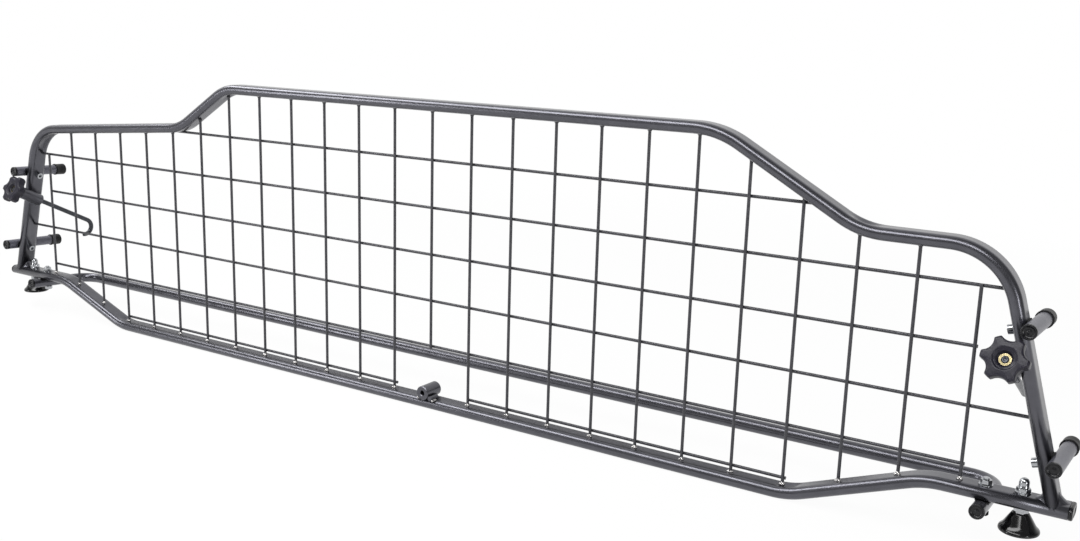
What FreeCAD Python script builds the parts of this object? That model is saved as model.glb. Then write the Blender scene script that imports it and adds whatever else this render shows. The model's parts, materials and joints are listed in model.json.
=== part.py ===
import FreeCAD, Part
import math
import os

# Car dog guard: a flat-oval steel frame with a welded wire mesh, two hooks
# with star knobs, four capped arms, a rear rail and two levelling feet.
# Millimetres. X runs across the car, Y from the viewer to the rear, Z up.
# The origin lies on the plane of both foot faces, midway between them.

vector = FreeCAD.Vector
right = vector(1, 0, 0)
rearward = vector(0, 1, 0)
upward = vector(0, 0, 1)
quarter_turn = 90.0
half_turn = 180.0
full_turn = 360.0
hexagon_sides = 6
cut_overrun = 5.0

# Frame tube
tube_depth = 23.0
tube_thickness = 11.2
tube_wall = 1.5

# Bottom bar: level ends, a ramp down at each side, a low middle
bar_half_length = 681.5
bar_level_end = 108.0
bar_ramp_run = 116.0
bar_drop = 43.0
bar_bend_radius = 80.0

# Upper frame: leaning uprights, shoulders, ramps and the raised middle
upright_foot_inset = 10.2
upright_lean = 15.8
shoulder_above_arm = 61.2
top_bar_above_shoulder = 74.0
left_shoulder_length = 286.45
left_shoulder_rise = 23.0
left_ramp_run = 81.0
right_shoulder_length = 114.15
right_ramp_run = 132.0
corner_bend_radius = 56.0
left_ramp_foot_radius = 70.0
left_ramp_top_radius = 60.0
right_ramp_foot_radius = 75.0
right_ramp_top_radius = 90.0
upright_weld_radius = 4.0

# Wire mesh: each wire has flats, the widest size that bounds it is its diameter
mesh_pitch = 50.0
mesh_room = 10.0
wire_diameter = 3.0
wire_sides = 8
wire_overhang = 1.0
low_row_above_bar = 5.4
short_columns_right_of_middle = 1
wire_weld_diameter = 5.2
wire_weld_edge = 0.3
wire_weld_height = 2.2
wire_weld_root = 1.0

# End plugs of the bottom bar
plug_clearance = 0.1
plug_spigot_length = 10.0
bar_plug_flange = 6.0
bar_plug_edge_chamfer = 0.9

# Round tube of the rear rail and of the arms
rod_tube_diameter = 12.5
rod_tube_wall = 1.5
core_sides = 8
press_depth = 3.0
press_half_length = 12.0
pad_thickness = 1.0
pad_length = 22.0
pad_width = 13.0

# Rear rail
rail_leg_inset = 61.0
rail_front = -24.0
rail_rear = 64.0
rail_droop = 3.0
rail_corner_radius = 25.0
round_plug_flange = 3.0
round_plug_edge_chamfer = 0.7
round_plug_spigot = 8.0

# Rail bolts
rail_bolt_diameter = 5.0
rail_bolt_hole = 5.4
rail_head_flats = 8.0
rail_head_height = 3.5
rail_head_gap = 0.25
rail_nut_height = 4.0
rail_bolt_overhang = 1.5
rail_washer_diameter = 11.5
washer_thickness = 1.0

# Arms
lower_arm_above_bar = 29.7
upper_arm_above_hook = 36.0
arm_droop = 2.5
arm_front = -24.0
upper_arm_rear = 47.5
lower_arm_rear = 53.5
cap_diameter = 14.6
cap_length = 15.0
cap_end_thickness = 2.5
cap_edge_chamfer = 1.2
arm_screw_diameter = 5.0
arm_screw_hole = 5.4
arm_screw_head_diameter = 8.0
arm_screw_head_length = 5.0
arm_screw_socket_flats = 4.0
arm_screw_socket_depth = 2.6
arm_insert_diameter = 7.0
arm_insert_length = 6.5
arm_screw_end_gap = 0.5
running_clearance = 0.05

# Hook clamps
hook_above_lower_arm = 68.0
hook_droop = 27.0
hook_rod_diameter = 6.0
hook_bend_radius = 10.5
hook_bend_start = 82.5
hook_bend_turn = 165.0
hook_rod_front = -40.5
hook_tip_chamfer = 0.8
sleeve_diameter = 15.5
sleeve_seat_depth = 0.02
sleeve_front = -30.0
sleeve_rear = 2.0
sleeve_edge_chamfer = 0.8
sleeve_weld_radius = 2.4
sleeve_weld_length = 12.0
clamp_washer_diameter = 14.0
clamp_washer_thickness = 1.2

# Star knob
knob_tip_radius = 18.4
knob_valley_radius = 13.7
knob_scallop_radius = 9.0
knob_lobes = 6
knob_lobe_thickness = 10.5
knob_hub_diameter = 17.0
knob_hub_length = 3.0
knob_gap = 0.1
knob_tip_round = 1.8
knob_rim_chamfer = 0.9
knob_dish_diameter = 17.2
knob_dish_depth = 0.8
knob_recess_diameter = 10.2
knob_recess_depth = 3.6
knob_insert_diameter = 9.6
left_knob_turn = 0.0
right_knob_turn = -16.0

# Levelling feet
foot_inset = 32.5
foot_base_diameter = 32.0
foot_top_diameter = 13.0
foot_height = 13.0
foot_below_bar = 7.9
foot_rim_height = 2.4
foot_top_chamfer = 0.9
stud_diameter = 6.0
stud_hole = 6.4
stud_seat_height = 4.0
stud_above_bar = 8.9
lock_nut_flats = 10.0
lock_nut_height = 5.2
lock_nut_gap = 0.1
dome_nut_flats = 10.0
dome_nut_hex_height = 5.5
dome_diameter = 9.2
dome_nut_height = 12.4
dome_bore_room = 2.2
dome_bands = 4
foot_washer_diameter = 12.0
hex_corner_chamfer = 0.6

# Middle boss on the low part of the bottom bar
boss_from_short_column = 0.5
boss_diameter = 15.0
boss_sink = 0.5
boss_front = -14.0
boss_rear = 10.0
boss_bore = 5.2
boss_bore_depth = 16.0
boss_edge_chamfer = 0.7
boss_mouth_chamfer = 0.6
pin_from_boss = 9.5
pin_diameter = 5.2
pin_sink = 0.3
pin_front = -13.0
pin_length = 12.0

os.makedirs("parts", exist_ok=True)

lean = math.radians(upright_lean)
tube_radius = tube_thickness / 2
rod_tube_radius = rod_tube_diameter / 2
wire_radius = wire_diameter / 2
arm_offset = tube_radius + pad_thickness + rod_tube_radius - press_depth

# Heights, from the feet up
bar_underside = foot_height + foot_below_bar
bar_end_height = bar_underside + tube_radius
bar_top = bar_end_height + tube_radius
bar_low_height = bar_end_height - bar_drop
lower_arm_height = bar_top + lower_arm_above_bar
hook_height = lower_arm_height + hook_above_lower_arm
upper_arm_height = hook_height + upper_arm_above_hook
shoulder_height = upper_arm_height + shoulder_above_arm
top_bar_height = shoulder_height + top_bar_above_shoulder
stud_top_height = bar_top + stud_above_bar

# Places across, from the bar's ends inward
bar_outer_ramp_reach = bar_half_length - bar_level_end
bar_inner_ramp_reach = bar_outer_ramp_reach - bar_ramp_run
upright_foot_reach = bar_half_length - upright_foot_inset
rail_leg_reach = bar_half_length - rail_leg_inset
foot_reach = bar_half_length - foot_inset


def upright_reach(height):
    """Distance of an upright's centre line from the middle at a height."""
    return upright_foot_reach - math.tan(lean) * (height - bar_top)


# Places across, from the uprights inward
corner_reach = upright_reach(shoulder_height)
left_ramp_foot = left_shoulder_length - corner_reach
left_ramp_top = left_ramp_foot + left_ramp_run
right_ramp_foot = corner_reach - right_shoulder_length
right_ramp_top = right_ramp_foot - right_ramp_run
sleeve_spacing = sleeve_diameter / 2 + tube_radius - sleeve_seat_depth
hook_reach = upright_reach(hook_height) - sleeve_spacing / math.cos(lean)

# Mesh: columns counted from the left, rows from the lowest one up
columns_each_side = int((corner_reach - mesh_room) / mesh_pitch)
last_column = 2 * columns_each_side
short_column = columns_each_side + short_columns_right_of_middle
low_row_height = bar_low_height + tube_radius + low_row_above_bar
last_row = int((top_bar_height - tube_radius - mesh_room - low_row_height) / mesh_pitch)


def flat_oval(depth, thickness, centre, along):
    """Filled flat-oval section, its long side along Y, square to a path."""
    half = (depth - thickness) / 2
    radius = thickness / 2
    up = along.cross(rearward)
    front_low = centre - rearward * half - up * radius
    front_high = centre - rearward * half + up * radius
    rear_high = centre + rearward * half + up * radius
    rear_low = centre + rearward * half - up * radius
    front_middle = centre - rearward * (half + radius)
    rear_middle = centre + rearward * (half + radius)
    edges = [
        Part.Arc(front_low, front_middle, front_high).toShape(),
        Part.makeLine(front_high, rear_high),
        Part.Arc(rear_high, rear_middle, rear_low).toShape(),
        Part.makeLine(rear_low, front_low),
    ]
    return Part.Face(Part.Wire(edges))


def flat_oval_core(depth, thickness, centre, along):
    """Flat-oval section with three flats for each round end, for hidden walls."""
    up = along.cross(rearward)
    high = thickness / 2
    reach = depth / 2
    trim = thickness / (2 + math.sqrt(2))
    points = []
    for side, level in ((-1, -1), (-1, 1), (1, 1), (1, -1)):
        flat_end = centre + rearward * side * (reach - trim) + up * level * high
        round_end = centre + rearward * side * reach + up * level * (high - trim)
        points.extend([flat_end, round_end] if side * level > 0 else [round_end, flat_end])
    return Part.Face(Part.makePolygon(points[1:] + points[:2]))


def disc(diameter, centre, along):
    """Filled round section, square to a path."""
    return Part.Face(Part.Wire(Part.makeCircle(diameter / 2, centre, along)))


def swept(section, corners, radii):
    """Solid along straight runs joined by round bends at the corners."""
    pieces = []
    start = corners[0]
    for index, radius in enumerate(radii):
        corner = corners[index + 1]
        arriving = (corner - start).normalize()
        leaving = (corners[index + 2] - corner).normalize()
        turn = arriving.getAngle(leaving)
        setback = radius * math.tan(turn / 2)
        bend_start = corner - arriving * setback
        axis = arriving.cross(leaving).normalize()
        centre = bend_start + axis.cross(arriving) * radius
        pieces.append(section(start, arriving).extrude(bend_start - start))
        pieces.append(section(bend_start, arriving).revolve(centre, axis, math.degrees(turn)))
        start = corner + leaving * setback
    last = (corners[-1] - start).normalize()
    pieces.append(section(start, last).extrude(corners[-1] - start))
    return pieces[0].multiFuse(pieces[1:]).removeSplitter().Solids[0]


def cylinder(diameter, start, end):
    """Round bar between two points."""
    run = end - start
    return Part.makeCylinder(diameter / 2, run.Length, start, run)


def cone(low_diameter, high_diameter, start, end):
    """Round tapered bar between two points."""
    run = end - start
    return Part.makeCone(low_diameter / 2, high_diameter / 2, run.Length, start, run)


def chamfered(diameter, chamfer, start, end):
    """Round bar between two points, trimmed at the second one."""
    shoulder = end - (end - start).normalize() * chamfer
    tip = cone(diameter, diameter - 2 * chamfer, shoulder, end)
    return cylinder(diameter, start, shoulder).fuse(tip)


def flat_sided_outline(sides, flats, centre, along, facing=rearward):
    """Closed outline across flats, one of them square to a direction."""
    across = along.cross(facing)
    spoke_length = flats / 2 / math.cos(math.pi / sides)
    points = []
    for corner in range(sides + 1):
        angle = math.pi * (2 * corner + 1) / sides
        spoke = facing * math.cos(angle) + across * math.sin(angle)
        points.append(centre + spoke * spoke_length)
    return Part.makePolygon(points)


def wire_rod(start, end):
    """Straight mesh wire between two points."""
    run = end - start
    outline = flat_sided_outline(wire_sides, wire_diameter, start, vector(run).normalize())
    return Part.Face(outline).extrude(run)


def ring(outer, inner, start, end):
    """Round tube between two points."""
    return cylinder(outer, start, end).cut(cylinder(inner, start, end))


def hex_prism(flats, height, centre, along, chamfer=0):
    """Hexagonal bar across flats, its corners trimmed at the far end."""
    corner = flats / math.sqrt(3)
    points = []
    for side in range(hexagon_sides + 1):
        angle = math.radians(full_turn / hexagon_sides * side)
        points.append(vector(corner * math.cos(angle), corner * math.sin(angle), 0))
    body = Part.Face(Part.makePolygon(points)).extrude(upward * height)
    if chamfer:
        cone = Part.makeCone(corner + height - chamfer, corner - chamfer, height)
        body = body.common(cone)
    body.Placement = FreeCAD.Placement(centre, FreeCAD.Rotation(upward, along))
    return body


def mirrored(shape):
    """The same piece on the other side of the guard."""
    return shape.mirror(vector(0, 0, 0), right)


def both_sides(shape):
    """A piece and its mirror image."""
    return [mirrored(shape), shape]


def save(name, solids):
    """Writes one node; alike pieces share a node as separate solids."""
    shape = solids[0] if len(solids) == 1 else Part.makeCompound(solids)
    shape.exportStep("parts/" + name + ".step")


def arch_corners(foot_height):
    """Corner points of the upper frame from the left foot to the right."""
    return [
        vector(-upright_reach(foot_height), 0, foot_height),
        vector(-corner_reach, 0, shoulder_height),
        vector(left_ramp_foot, 0, shoulder_height + left_shoulder_rise),
        vector(left_ramp_top, 0, top_bar_height),
        vector(right_ramp_top, 0, top_bar_height),
        vector(right_ramp_foot, 0, shoulder_height),
        vector(corner_reach, 0, shoulder_height),
        vector(upright_reach(foot_height), 0, foot_height),
    ]


def arch_solid(outline, depth, thickness):
    """Upper frame filled to a section; its feet reach into the bottom bar."""
    radii = [
        corner_bend_radius,
        left_ramp_foot_radius,
        left_ramp_top_radius,
        right_ramp_top_radius,
        right_ramp_foot_radius,
        corner_bend_radius,
    ]

    def section(centre, along):
        return outline(depth, thickness, centre, along)

    return swept(section, arch_corners(bar_end_height), radii)


def bar_corners():
    """Corner points of the bottom bar from left to right."""
    return [
        vector(-bar_half_length, 0, bar_end_height),
        vector(-bar_outer_ramp_reach, 0, bar_end_height),
        vector(-bar_inner_ramp_reach, 0, bar_low_height),
        vector(bar_inner_ramp_reach, 0, bar_low_height),
        vector(bar_outer_ramp_reach, 0, bar_end_height),
        vector(bar_half_length, 0, bar_end_height),
    ]


def bar_solid(outline, depth, thickness):
    """Bottom bar filled to a section."""

    def section(centre, along):
        return outline(depth, thickness, centre, along)

    return swept(section, bar_corners(), [bar_bend_radius] * 4)


def height_on(corners, reach):
    """Height and slope of a centre line at a place across the guard."""
    for start, end in zip(corners, corners[1:]):
        if start.x <= reach <= end.x:
            slope = (end.z - start.z) / (end.x - start.x)
            return start.z + slope * (reach - start.x), slope
    return corners[0].z, 0


def inside_of_frame():
    """Space between the centre lines of the upper frame and the bottom bar."""
    outline = arch_corners(bar_end_height) + bar_corners()[-2:0:-1]
    outline.append(outline[0])
    face = Part.Face(Part.makePolygon(outline))
    face.translate(-rearward * tube_depth / 2)
    return face.extrude(rearward * tube_depth)


def trimmed(wire):
    """A wire cut back to the tubes that it ends on."""
    kept = wire.common(frame_inside).cut(arch_filled).cut(bar_filled)
    return max(kept.Solids, key=lambda solid: solid.Volume)


def column_reach(column):
    """Place of an upright mesh wire across the guard."""
    return (column - columns_each_side) * mesh_pitch


def row_height(row):
    """Height of a level mesh wire."""
    return low_row_height + row * mesh_pitch


def column_wire(column):
    """One upright wire, before it is trimmed to the tubes."""
    past = wire_radius + wire_overhang
    reach = column_reach(column)
    low = bar_low_height
    high = top_bar_height
    if column in (0, last_column):
        high = row_height(last_row - 1) + past
    if column == short_column:
        low = row_height(1) - past
    return wire_rod(vector(reach, 0, low), vector(reach, 0, high))


def row_wires():
    """Level wires behind the upright ones, before they are trimmed."""
    past = wire_radius + wire_overhang
    low_columns = [
        column for column in range(last_column + 1) if abs(column_reach(column)) < bar_inner_ramp_reach
    ]
    ends = [
        (0, column_reach(low_columns[0]) - past, column_reach(short_column - 1) + past),
        (0, column_reach(short_column + 1) - past, column_reach(low_columns[-1]) + past),
    ]
    for row in range(1, last_row + 1):
        outer = column_reach(last_column) + past
        if row % 2 == 0 or row == last_row:
            outer = upright_foot_reach
        ends.append((row, -outer, outer))
    wires = []
    for row, start, end in ends:
        left = vector(start, wire_diameter, row_height(row))
        wires.append(wire_rod(left, left + right * (end - start)))
    return wires


def wire_weld(column):
    """Small weld collar round a wire's foot on the bottom bar."""
    reach = column_reach(column)
    height, slope = height_on(bar_corners(), reach)
    slant = wire_weld_diameter / 2 * abs(slope)
    surface = height + tube_radius * math.hypot(1, slope)
    low = vector(reach, 0, surface - wire_weld_root - slant)
    high = vector(reach, 0, surface + wire_weld_height + slant)
    edge = wire_diameter + 2 * wire_weld_edge
    outlines = [
        flat_sided_outline(wire_sides, wire_weld_diameter, low, upward),
        flat_sided_outline(wire_sides, edge, high, upward),
    ]
    return Part.makeLoft(outlines, True, True)


def upright_weld(side_of_upright):
    """Weld bead across the bar on one side of the right upright."""
    reach = upright_foot_reach + side_of_upright * tube_radius / math.cos(lean)
    half = (tube_depth - tube_thickness) / 2
    return cylinder(2 * upright_weld_radius, vector(reach, -half, bar_top), vector(reach, half, bar_top))


def bar_plug():
    """End plug of the bottom bar's right end: a flange and a spigot."""
    end = vector(bar_half_length, 0, bar_end_height)
    flange = flat_oval(tube_depth, tube_thickness, end, right).extrude(right * bar_plug_flange)
    rim = [edge for edge in flange.Edges if edge.BoundBox.XMin > bar_half_length + bar_plug_flange / 2]
    flange = flange.makeChamfer(bar_plug_edge_chamfer, rim)
    shrink = 2 * (tube_wall + plug_clearance)
    spigot_start = end - right * plug_spigot_length
    spigot = flat_oval(tube_depth - shrink, tube_thickness - shrink, spigot_start, right)
    return flange.fuse(spigot.extrude(right * plug_spigot_length)).removeSplitter()


def rail_height(depth):
    """Height of the rear rail's centre line at a depth."""
    mid = bar_underside - pad_thickness - rod_tube_radius + press_depth
    return mid - math.tan(math.radians(rail_droop)) * depth


def rail_outside(centre, along):
    """Round outside of the rail's tube, square to its path."""
    return disc(rod_tube_diameter, centre, along)


def rail_core(centre, along):
    """Hidden inside of the rail's tube, with flats, square to its path."""
    droop = math.radians(rail_droop)
    facing = upward * math.cos(droop) + rearward * math.sin(droop)
    flats = rod_tube_diameter - 2 * rod_tube_wall
    return Part.Face(flat_sided_outline(core_sides, flats, centre, along, facing))


def rail_solid(section):
    """Rear rail filled to a section: two legs and the run behind the mesh."""
    corners = [
        vector(-rail_leg_reach, rail_front, rail_height(rail_front)),
        vector(-rail_leg_reach, rail_rear, rail_height(rail_rear)),
        vector(rail_leg_reach, rail_rear, rail_height(rail_rear)),
        vector(rail_leg_reach, rail_front, rail_height(rail_front)),
    ]
    return swept(section, corners, [rail_corner_radius] * 2)


def press_cutter(level):
    """Space above a pressed flat: along Y, level at a height, sloped ends."""
    side = rod_tube_radius + pad_thickness
    rise = press_depth + tube_wall + pad_thickness
    points = [
        vector(-side, -press_half_length, level),
        vector(-side, press_half_length, level),
        vector(-side, press_half_length + rise, level + rise),
        vector(-side, -press_half_length - rise, level + rise),
        vector(-side, -press_half_length, level),
    ]
    return Part.Face(Part.makePolygon(points)).extrude(right * 2 * side)


def rail():
    """Hollow rear rail with a pressed flat and a bolt hole in each leg."""
    level = bar_underside - pad_thickness
    outside = rail_solid(rail_outside)
    inside = rail_solid(rail_core)
    for side in (-1, 1):
        move = right * side * rail_leg_reach
        outer_cut = press_cutter(level)
        outer_cut.translate(move)
        inner_cut = press_cutter(level - rod_tube_wall)
        inner_cut.translate(move)
        outside = outside.cut(outer_cut)
        inside = inside.cut(inner_cut)
        middle = vector(side * rail_leg_reach, 0, rail_height(0))
        reach = upward * (rod_tube_radius + cut_overrun)
        outside = outside.cut(cylinder(rail_bolt_hole, middle - reach, middle + reach))
    return outside.cut(inside)


def round_plug():
    """Plug for a round tube: it closes the end that faces -Y at the origin."""
    face = -rearward * round_plug_flange
    flange = chamfered(rod_tube_diameter, round_plug_edge_chamfer, vector(0, 0, 0), face)
    inner = rod_tube_diameter - 2 * (rod_tube_wall + plug_clearance)
    return flange.fuse(cylinder(inner, face, rearward * round_plug_spigot)).removeSplitter()


def rail_plug():
    """Plug in the front end of the rail's right leg."""
    plug = round_plug()
    turn = FreeCAD.Rotation(right, -rail_droop)
    plug.Placement = FreeCAD.Placement(vector(rail_leg_reach, rail_front, rail_height(rail_front)), turn)
    return plug


def pad_blank(hole):
    """Flat pad with rounded ends on the XY plane and a hole through it."""
    half = (pad_length - pad_width) / 2
    radius = pad_width / 2
    corners = [
        vector(-radius, -half, 0),
        vector(-radius, half, 0),
        vector(0, half + radius, 0),
        vector(radius, half, 0),
        vector(radius, -half, 0),
        vector(0, -half - radius, 0),
    ]
    edges = [
        Part.makeLine(corners[0], corners[1]),
        Part.Arc(corners[1], corners[2], corners[3]).toShape(),
        Part.makeLine(corners[3], corners[4]),
        Part.Arc(corners[4], corners[5], corners[0]).toShape(),
    ]
    pad = Part.Face(Part.Wire(edges)).extrude(upward * pad_thickness)
    return pad.cut(cylinder(hole, vector(0, 0, 0), upward * pad_thickness))


def rail_pad():
    """Pad between the bar and the rail's right leg."""
    pad = pad_blank(rail_bolt_hole)
    pad.translate(vector(rail_leg_reach, 0, bar_underside - pad_thickness))
    return pad


def rail_bolt():
    """Hexagon bolt up through the rail, the pad and the bar."""
    seat = vector(rail_leg_reach, 0, rail_height(0) - rod_tube_radius - rail_head_gap)
    head = hex_prism(rail_head_flats, rail_head_height, seat, -upward, hex_corner_chamfer)
    top = bar_top + washer_thickness + rail_nut_height + rail_bolt_overhang
    shank = cylinder(rail_bolt_diameter, seat, vector(rail_leg_reach, 0, top))
    return head.fuse(shank).removeSplitter()


def rail_washer():
    """Washer on the bar over the rail bolt."""
    seat = vector(rail_leg_reach, 0, bar_top)
    return ring(rail_washer_diameter, rail_bolt_diameter, seat, seat + upward * washer_thickness)


def rail_nut():
    """Nut on the rail bolt."""
    seat = vector(rail_leg_reach, 0, bar_top + washer_thickness)
    body = hex_prism(rail_head_flats, rail_nut_height, seat, upward, hex_corner_chamfer)
    return body.cut(cylinder(rail_bolt_diameter, seat, seat + upward * rail_nut_height))


def arm_placement(height):
    """Where an arm's screw crosses its tube on the right upright."""
    normal = vector(math.cos(lean), 0, math.sin(lean))
    centre = vector(upright_reach(height), 0, height) + normal * arm_offset
    return FreeCAD.Placement(centre, FreeCAD.Rotation(rearward, -upright_lean))


def arm_turn():
    """Droop of an arm about its screw."""
    return FreeCAD.Placement(vector(0, 0, 0), FreeCAD.Rotation(right, -arm_droop))


def arm_press_cutter(level):
    """Space beside a pressed flat on the side that faces the upright."""
    cutter = press_cutter(level)
    cutter.rotate(vector(0, 0, 0), rearward, -quarter_turn)
    return cutter


def arm_tube(rear):
    """Arm tube along Y with its pressed flat and the hole for the insert."""
    level = rod_tube_radius - press_depth
    start = rearward * arm_front
    outside = cylinder(rod_tube_diameter, start, rearward * rear)
    outside = outside.cut(arm_press_cutter(level))
    inside = cylinder(rod_tube_diameter - 2 * rod_tube_wall, start, rearward * rear)
    inside = inside.cut(arm_press_cutter(level - rod_tube_wall))
    hole = cylinder(arm_insert_diameter, vector(0, 0, 0), -right * rod_tube_radius)
    return outside.cut(inside).cut(hole)


def arm_insert():
    """Threaded insert in the arm's flat."""
    start = -right * (rod_tube_radius - press_depth)
    bore = arm_screw_diameter + 2 * running_clearance
    return ring(arm_insert_diameter, bore, start, start + right * arm_insert_length)


def arm_cap(rear):
    """Rubber cap pushed over the arm's rear end."""
    closed_end = rear + cap_end_thickness
    open_end = closed_end - cap_length
    cap = chamfered(cap_diameter, cap_edge_chamfer, rearward * open_end, rearward * closed_end)
    return cap.cut(cylinder(rod_tube_diameter, rearward * open_end, rearward * rear))


def arm_front_plug():
    """Plug in the arm's front end."""
    plug = round_plug()
    plug.translate(rearward * arm_front)
    return plug


def arm_pad():
    """Pad between the upright and the arm, in the arm's own frame."""
    pad = pad_blank(arm_screw_hole)
    pad.rotate(vector(0, 0, 0), rearward, -quarter_turn)
    pad.translate(-right * (rod_tube_radius - press_depth))
    return pad


def arm_screw():
    """Socket screw from the upright's inner face into the arm's insert."""
    seat = -right * (arm_offset + tube_radius)
    tip = -right * (rod_tube_radius - press_depth) + right * (arm_insert_length - arm_screw_end_gap)
    head_end = seat - right * arm_screw_head_length
    screw = cylinder(arm_screw_diameter, seat, tip).fuse(cylinder(arm_screw_head_diameter, head_end, seat))
    socket = hex_prism(arm_screw_socket_flats, arm_screw_socket_depth, head_end, right)
    return screw.removeSplitter().cut(socket)


def arm_screw_drill():
    """Hole through both walls of the upright for an arm's screw."""
    centre = -right * arm_offset
    reach = right * (tube_radius + cut_overrun)
    return cylinder(arm_screw_hole, centre - reach, centre + reach)


def placed(shape, *placements):
    """A copy of a shape moved by placements, the last one first."""
    total = FreeCAD.Placement()
    for placement in placements:
        total = total.multiply(placement)
    moved = shape.copy()
    moved.Placement = total.multiply(moved.Placement)
    return moved


def clamp_placement(side):
    """Axis of a hook clamp: local Z runs rearward and down, local Y down."""
    turn = FreeCAD.Rotation(right, -quarter_turn - hook_droop)
    return FreeCAD.Placement(vector(side * hook_reach, 0, hook_height), turn)


def sleeve():
    """Guide sleeve of a hook along local Z."""
    middle = upward * (sleeve_front + sleeve_rear) / 2
    body = chamfered(sleeve_diameter, sleeve_edge_chamfer, middle, upward * sleeve_front)
    body = body.fuse(chamfered(sleeve_diameter, sleeve_edge_chamfer, middle, upward * sleeve_rear))
    body = body.removeSplitter()
    bore = hook_rod_diameter + 2 * running_clearance
    return body.cut(cylinder(bore, upward * sleeve_front, upward * sleeve_rear))


def sleeve_weld(side, above):
    """Weld bead along the sleeve where it meets the upright."""
    across = (sleeve_diameter / 2 - sleeve_weld_radius / 2) * above
    toward = side * (sleeve_diameter / 2 - sleeve_weld_radius)
    middle = (sleeve_rear - sleeve_weld_length) / 2
    start = vector(toward, -across, middle - sleeve_weld_length / 2)
    end = vector(toward, -across, middle + sleeve_weld_length / 2)
    return cylinder(2 * sleeve_weld_radius, start, end)


def hook_rod(down):
    """Hook bolt along local Z; its bend turns toward +Y or -Y."""
    points = [upward * hook_rod_front, upward * hook_bend_start]
    side = rearward * down
    straight = chamfered(hook_rod_diameter, hook_tip_chamfer, points[1], points[0])
    centre = points[1] + side * hook_bend_radius
    axis = upward.cross(side)
    bend = disc(hook_rod_diameter, points[1], upward).revolve(centre, axis, hook_bend_turn)
    return straight.fuse(bend).removeSplitter()


def clamp_washer():
    """Thrust washer between the sleeve and the knob."""
    start = upward * (sleeve_front - clamp_washer_thickness)
    bore = hook_rod_diameter + 2 * running_clearance
    return ring(clamp_washer_diameter, bore, start, upward * sleeve_front)


def knob_back():
    """Where the knob's hub ends, just off the thrust washer."""
    return sleeve_front - clamp_washer_thickness - knob_gap


def polar(radius, angle):
    """Point of the XY plane at a radius and an angle in radians."""
    return vector(radius * math.cos(angle), radius * math.sin(angle), 0)


def knob_outline():
    """Star outline: hollow scallops, rounded lobe corners and lobe tips."""
    scallop_reach = knob_valley_radius + knob_scallop_radius
    corner_reach_in_knob = knob_tip_radius - knob_tip_round
    apart = knob_scallop_radius + knob_tip_round
    squares = corner_reach_in_knob**2 + scallop_reach**2 - apart**2
    swing = math.acos(squares / (2 * corner_reach_in_knob * scallop_reach))
    half_step = math.pi / knob_lobes
    edges = []
    for lobe in range(knob_lobes):
        middle = 2 * half_step * lobe + half_step
        scallop = polar(scallop_reach, middle)
        valley = polar(knob_valley_radius, middle)
        ends = []
        for side in (-1, 1):
            corner = polar(corner_reach_in_knob, middle + side * swing)
            toward = (scallop - corner).normalize()
            outward = vector(corner).normalize()
            hollow_end = corner + toward * knob_tip_round
            bulge = corner + (toward + outward).normalize() * knob_tip_round
            tip_end = corner + outward * knob_tip_round
            ends.append((hollow_end, bulge, tip_end))
        low, high = ends
        next_tip = polar(knob_tip_radius, middle + 2 * half_step - swing)
        edges.append(Part.Arc(low[2], low[1], low[0]).toShape())
        edges.append(Part.Arc(low[0], valley, high[0]).toShape())
        edges.append(Part.Arc(high[0], high[1], high[2]).toShape())
        edges.append(Part.Arc(high[2], polar(knob_tip_radius, middle + half_step), next_tip).toShape())
    return Part.Face(Part.Wire(edges))


def knob(turn):
    """Star knob: scalloped rim, hub, dished face and recess."""
    back = knob_back() - knob_hub_length
    front = back - knob_lobe_thickness
    star = knob_outline().extrude(upward * knob_lobe_thickness)
    star.translate(upward * front)
    rim = cone(
        2 * (knob_tip_radius - knob_rim_chamfer),
        2 * (knob_tip_radius - knob_rim_chamfer + knob_lobe_thickness),
        upward * front,
        upward * back,
    )
    star = star.common(rim)
    star = star.fuse(cylinder(knob_hub_diameter, upward * back, upward * knob_back()))
    star = star.cut(cylinder(knob_dish_diameter, upward * front, upward * (front + knob_dish_depth)))
    recess_end = upward * (front + knob_dish_depth + knob_recess_depth)
    star = star.cut(cylinder(knob_recess_diameter, upward * front, recess_end))
    star = star.cut(cylinder(knob_insert_diameter, upward * front, upward * knob_back()))
    star.rotate(vector(0, 0, 0), upward, -turn)
    return star


def knob_insert():
    """Threaded insert moulded into the knob."""
    front = knob_back() - knob_hub_length - knob_lobe_thickness + knob_dish_depth + knob_recess_depth
    bore = hook_rod_diameter + 2 * running_clearance
    return ring(knob_insert_diameter, bore, upward * front, upward * knob_back())


def foot_pad():
    """Cone foot with a flat rim and a seat for its stud."""
    shoulder = foot_height - foot_top_chamfer
    base_radius = foot_base_diameter / 2
    top_radius = foot_top_diameter / 2
    outline = [
        vector(0, 0, 0),
        vector(base_radius, 0, 0),
        vector(base_radius, 0, foot_rim_height),
        vector(top_radius, 0, shoulder),
        vector(top_radius - foot_top_chamfer, 0, foot_height),
        vector(0, 0, foot_height),
        vector(0, 0, 0),
    ]
    body = Part.Face(Part.makePolygon(outline)).revolve(vector(0, 0, 0), upward, full_turn)
    seat = stud_diameter + 2 * running_clearance
    return body.cut(cylinder(seat, upward * stud_seat_height, upward * foot_height))


def foot_stud():
    """Threaded stud from the foot up into the dome nut."""
    return cylinder(stud_diameter, upward * stud_seat_height, upward * stud_top_height)


def lock_nut():
    """Height nut under the bar."""
    top = bar_underside - lock_nut_gap
    body = hex_prism(lock_nut_flats, lock_nut_height, upward * top, -upward, hex_corner_chamfer)
    bore = stud_diameter + 2 * running_clearance
    return body.cut(cylinder(bore, upward * (top - lock_nut_height), upward * top))


def foot_washer():
    """Washer under the dome nut."""
    seat = upward * bar_top
    return ring(foot_washer_diameter, stud_hole, seat, seat + upward * washer_thickness)


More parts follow.
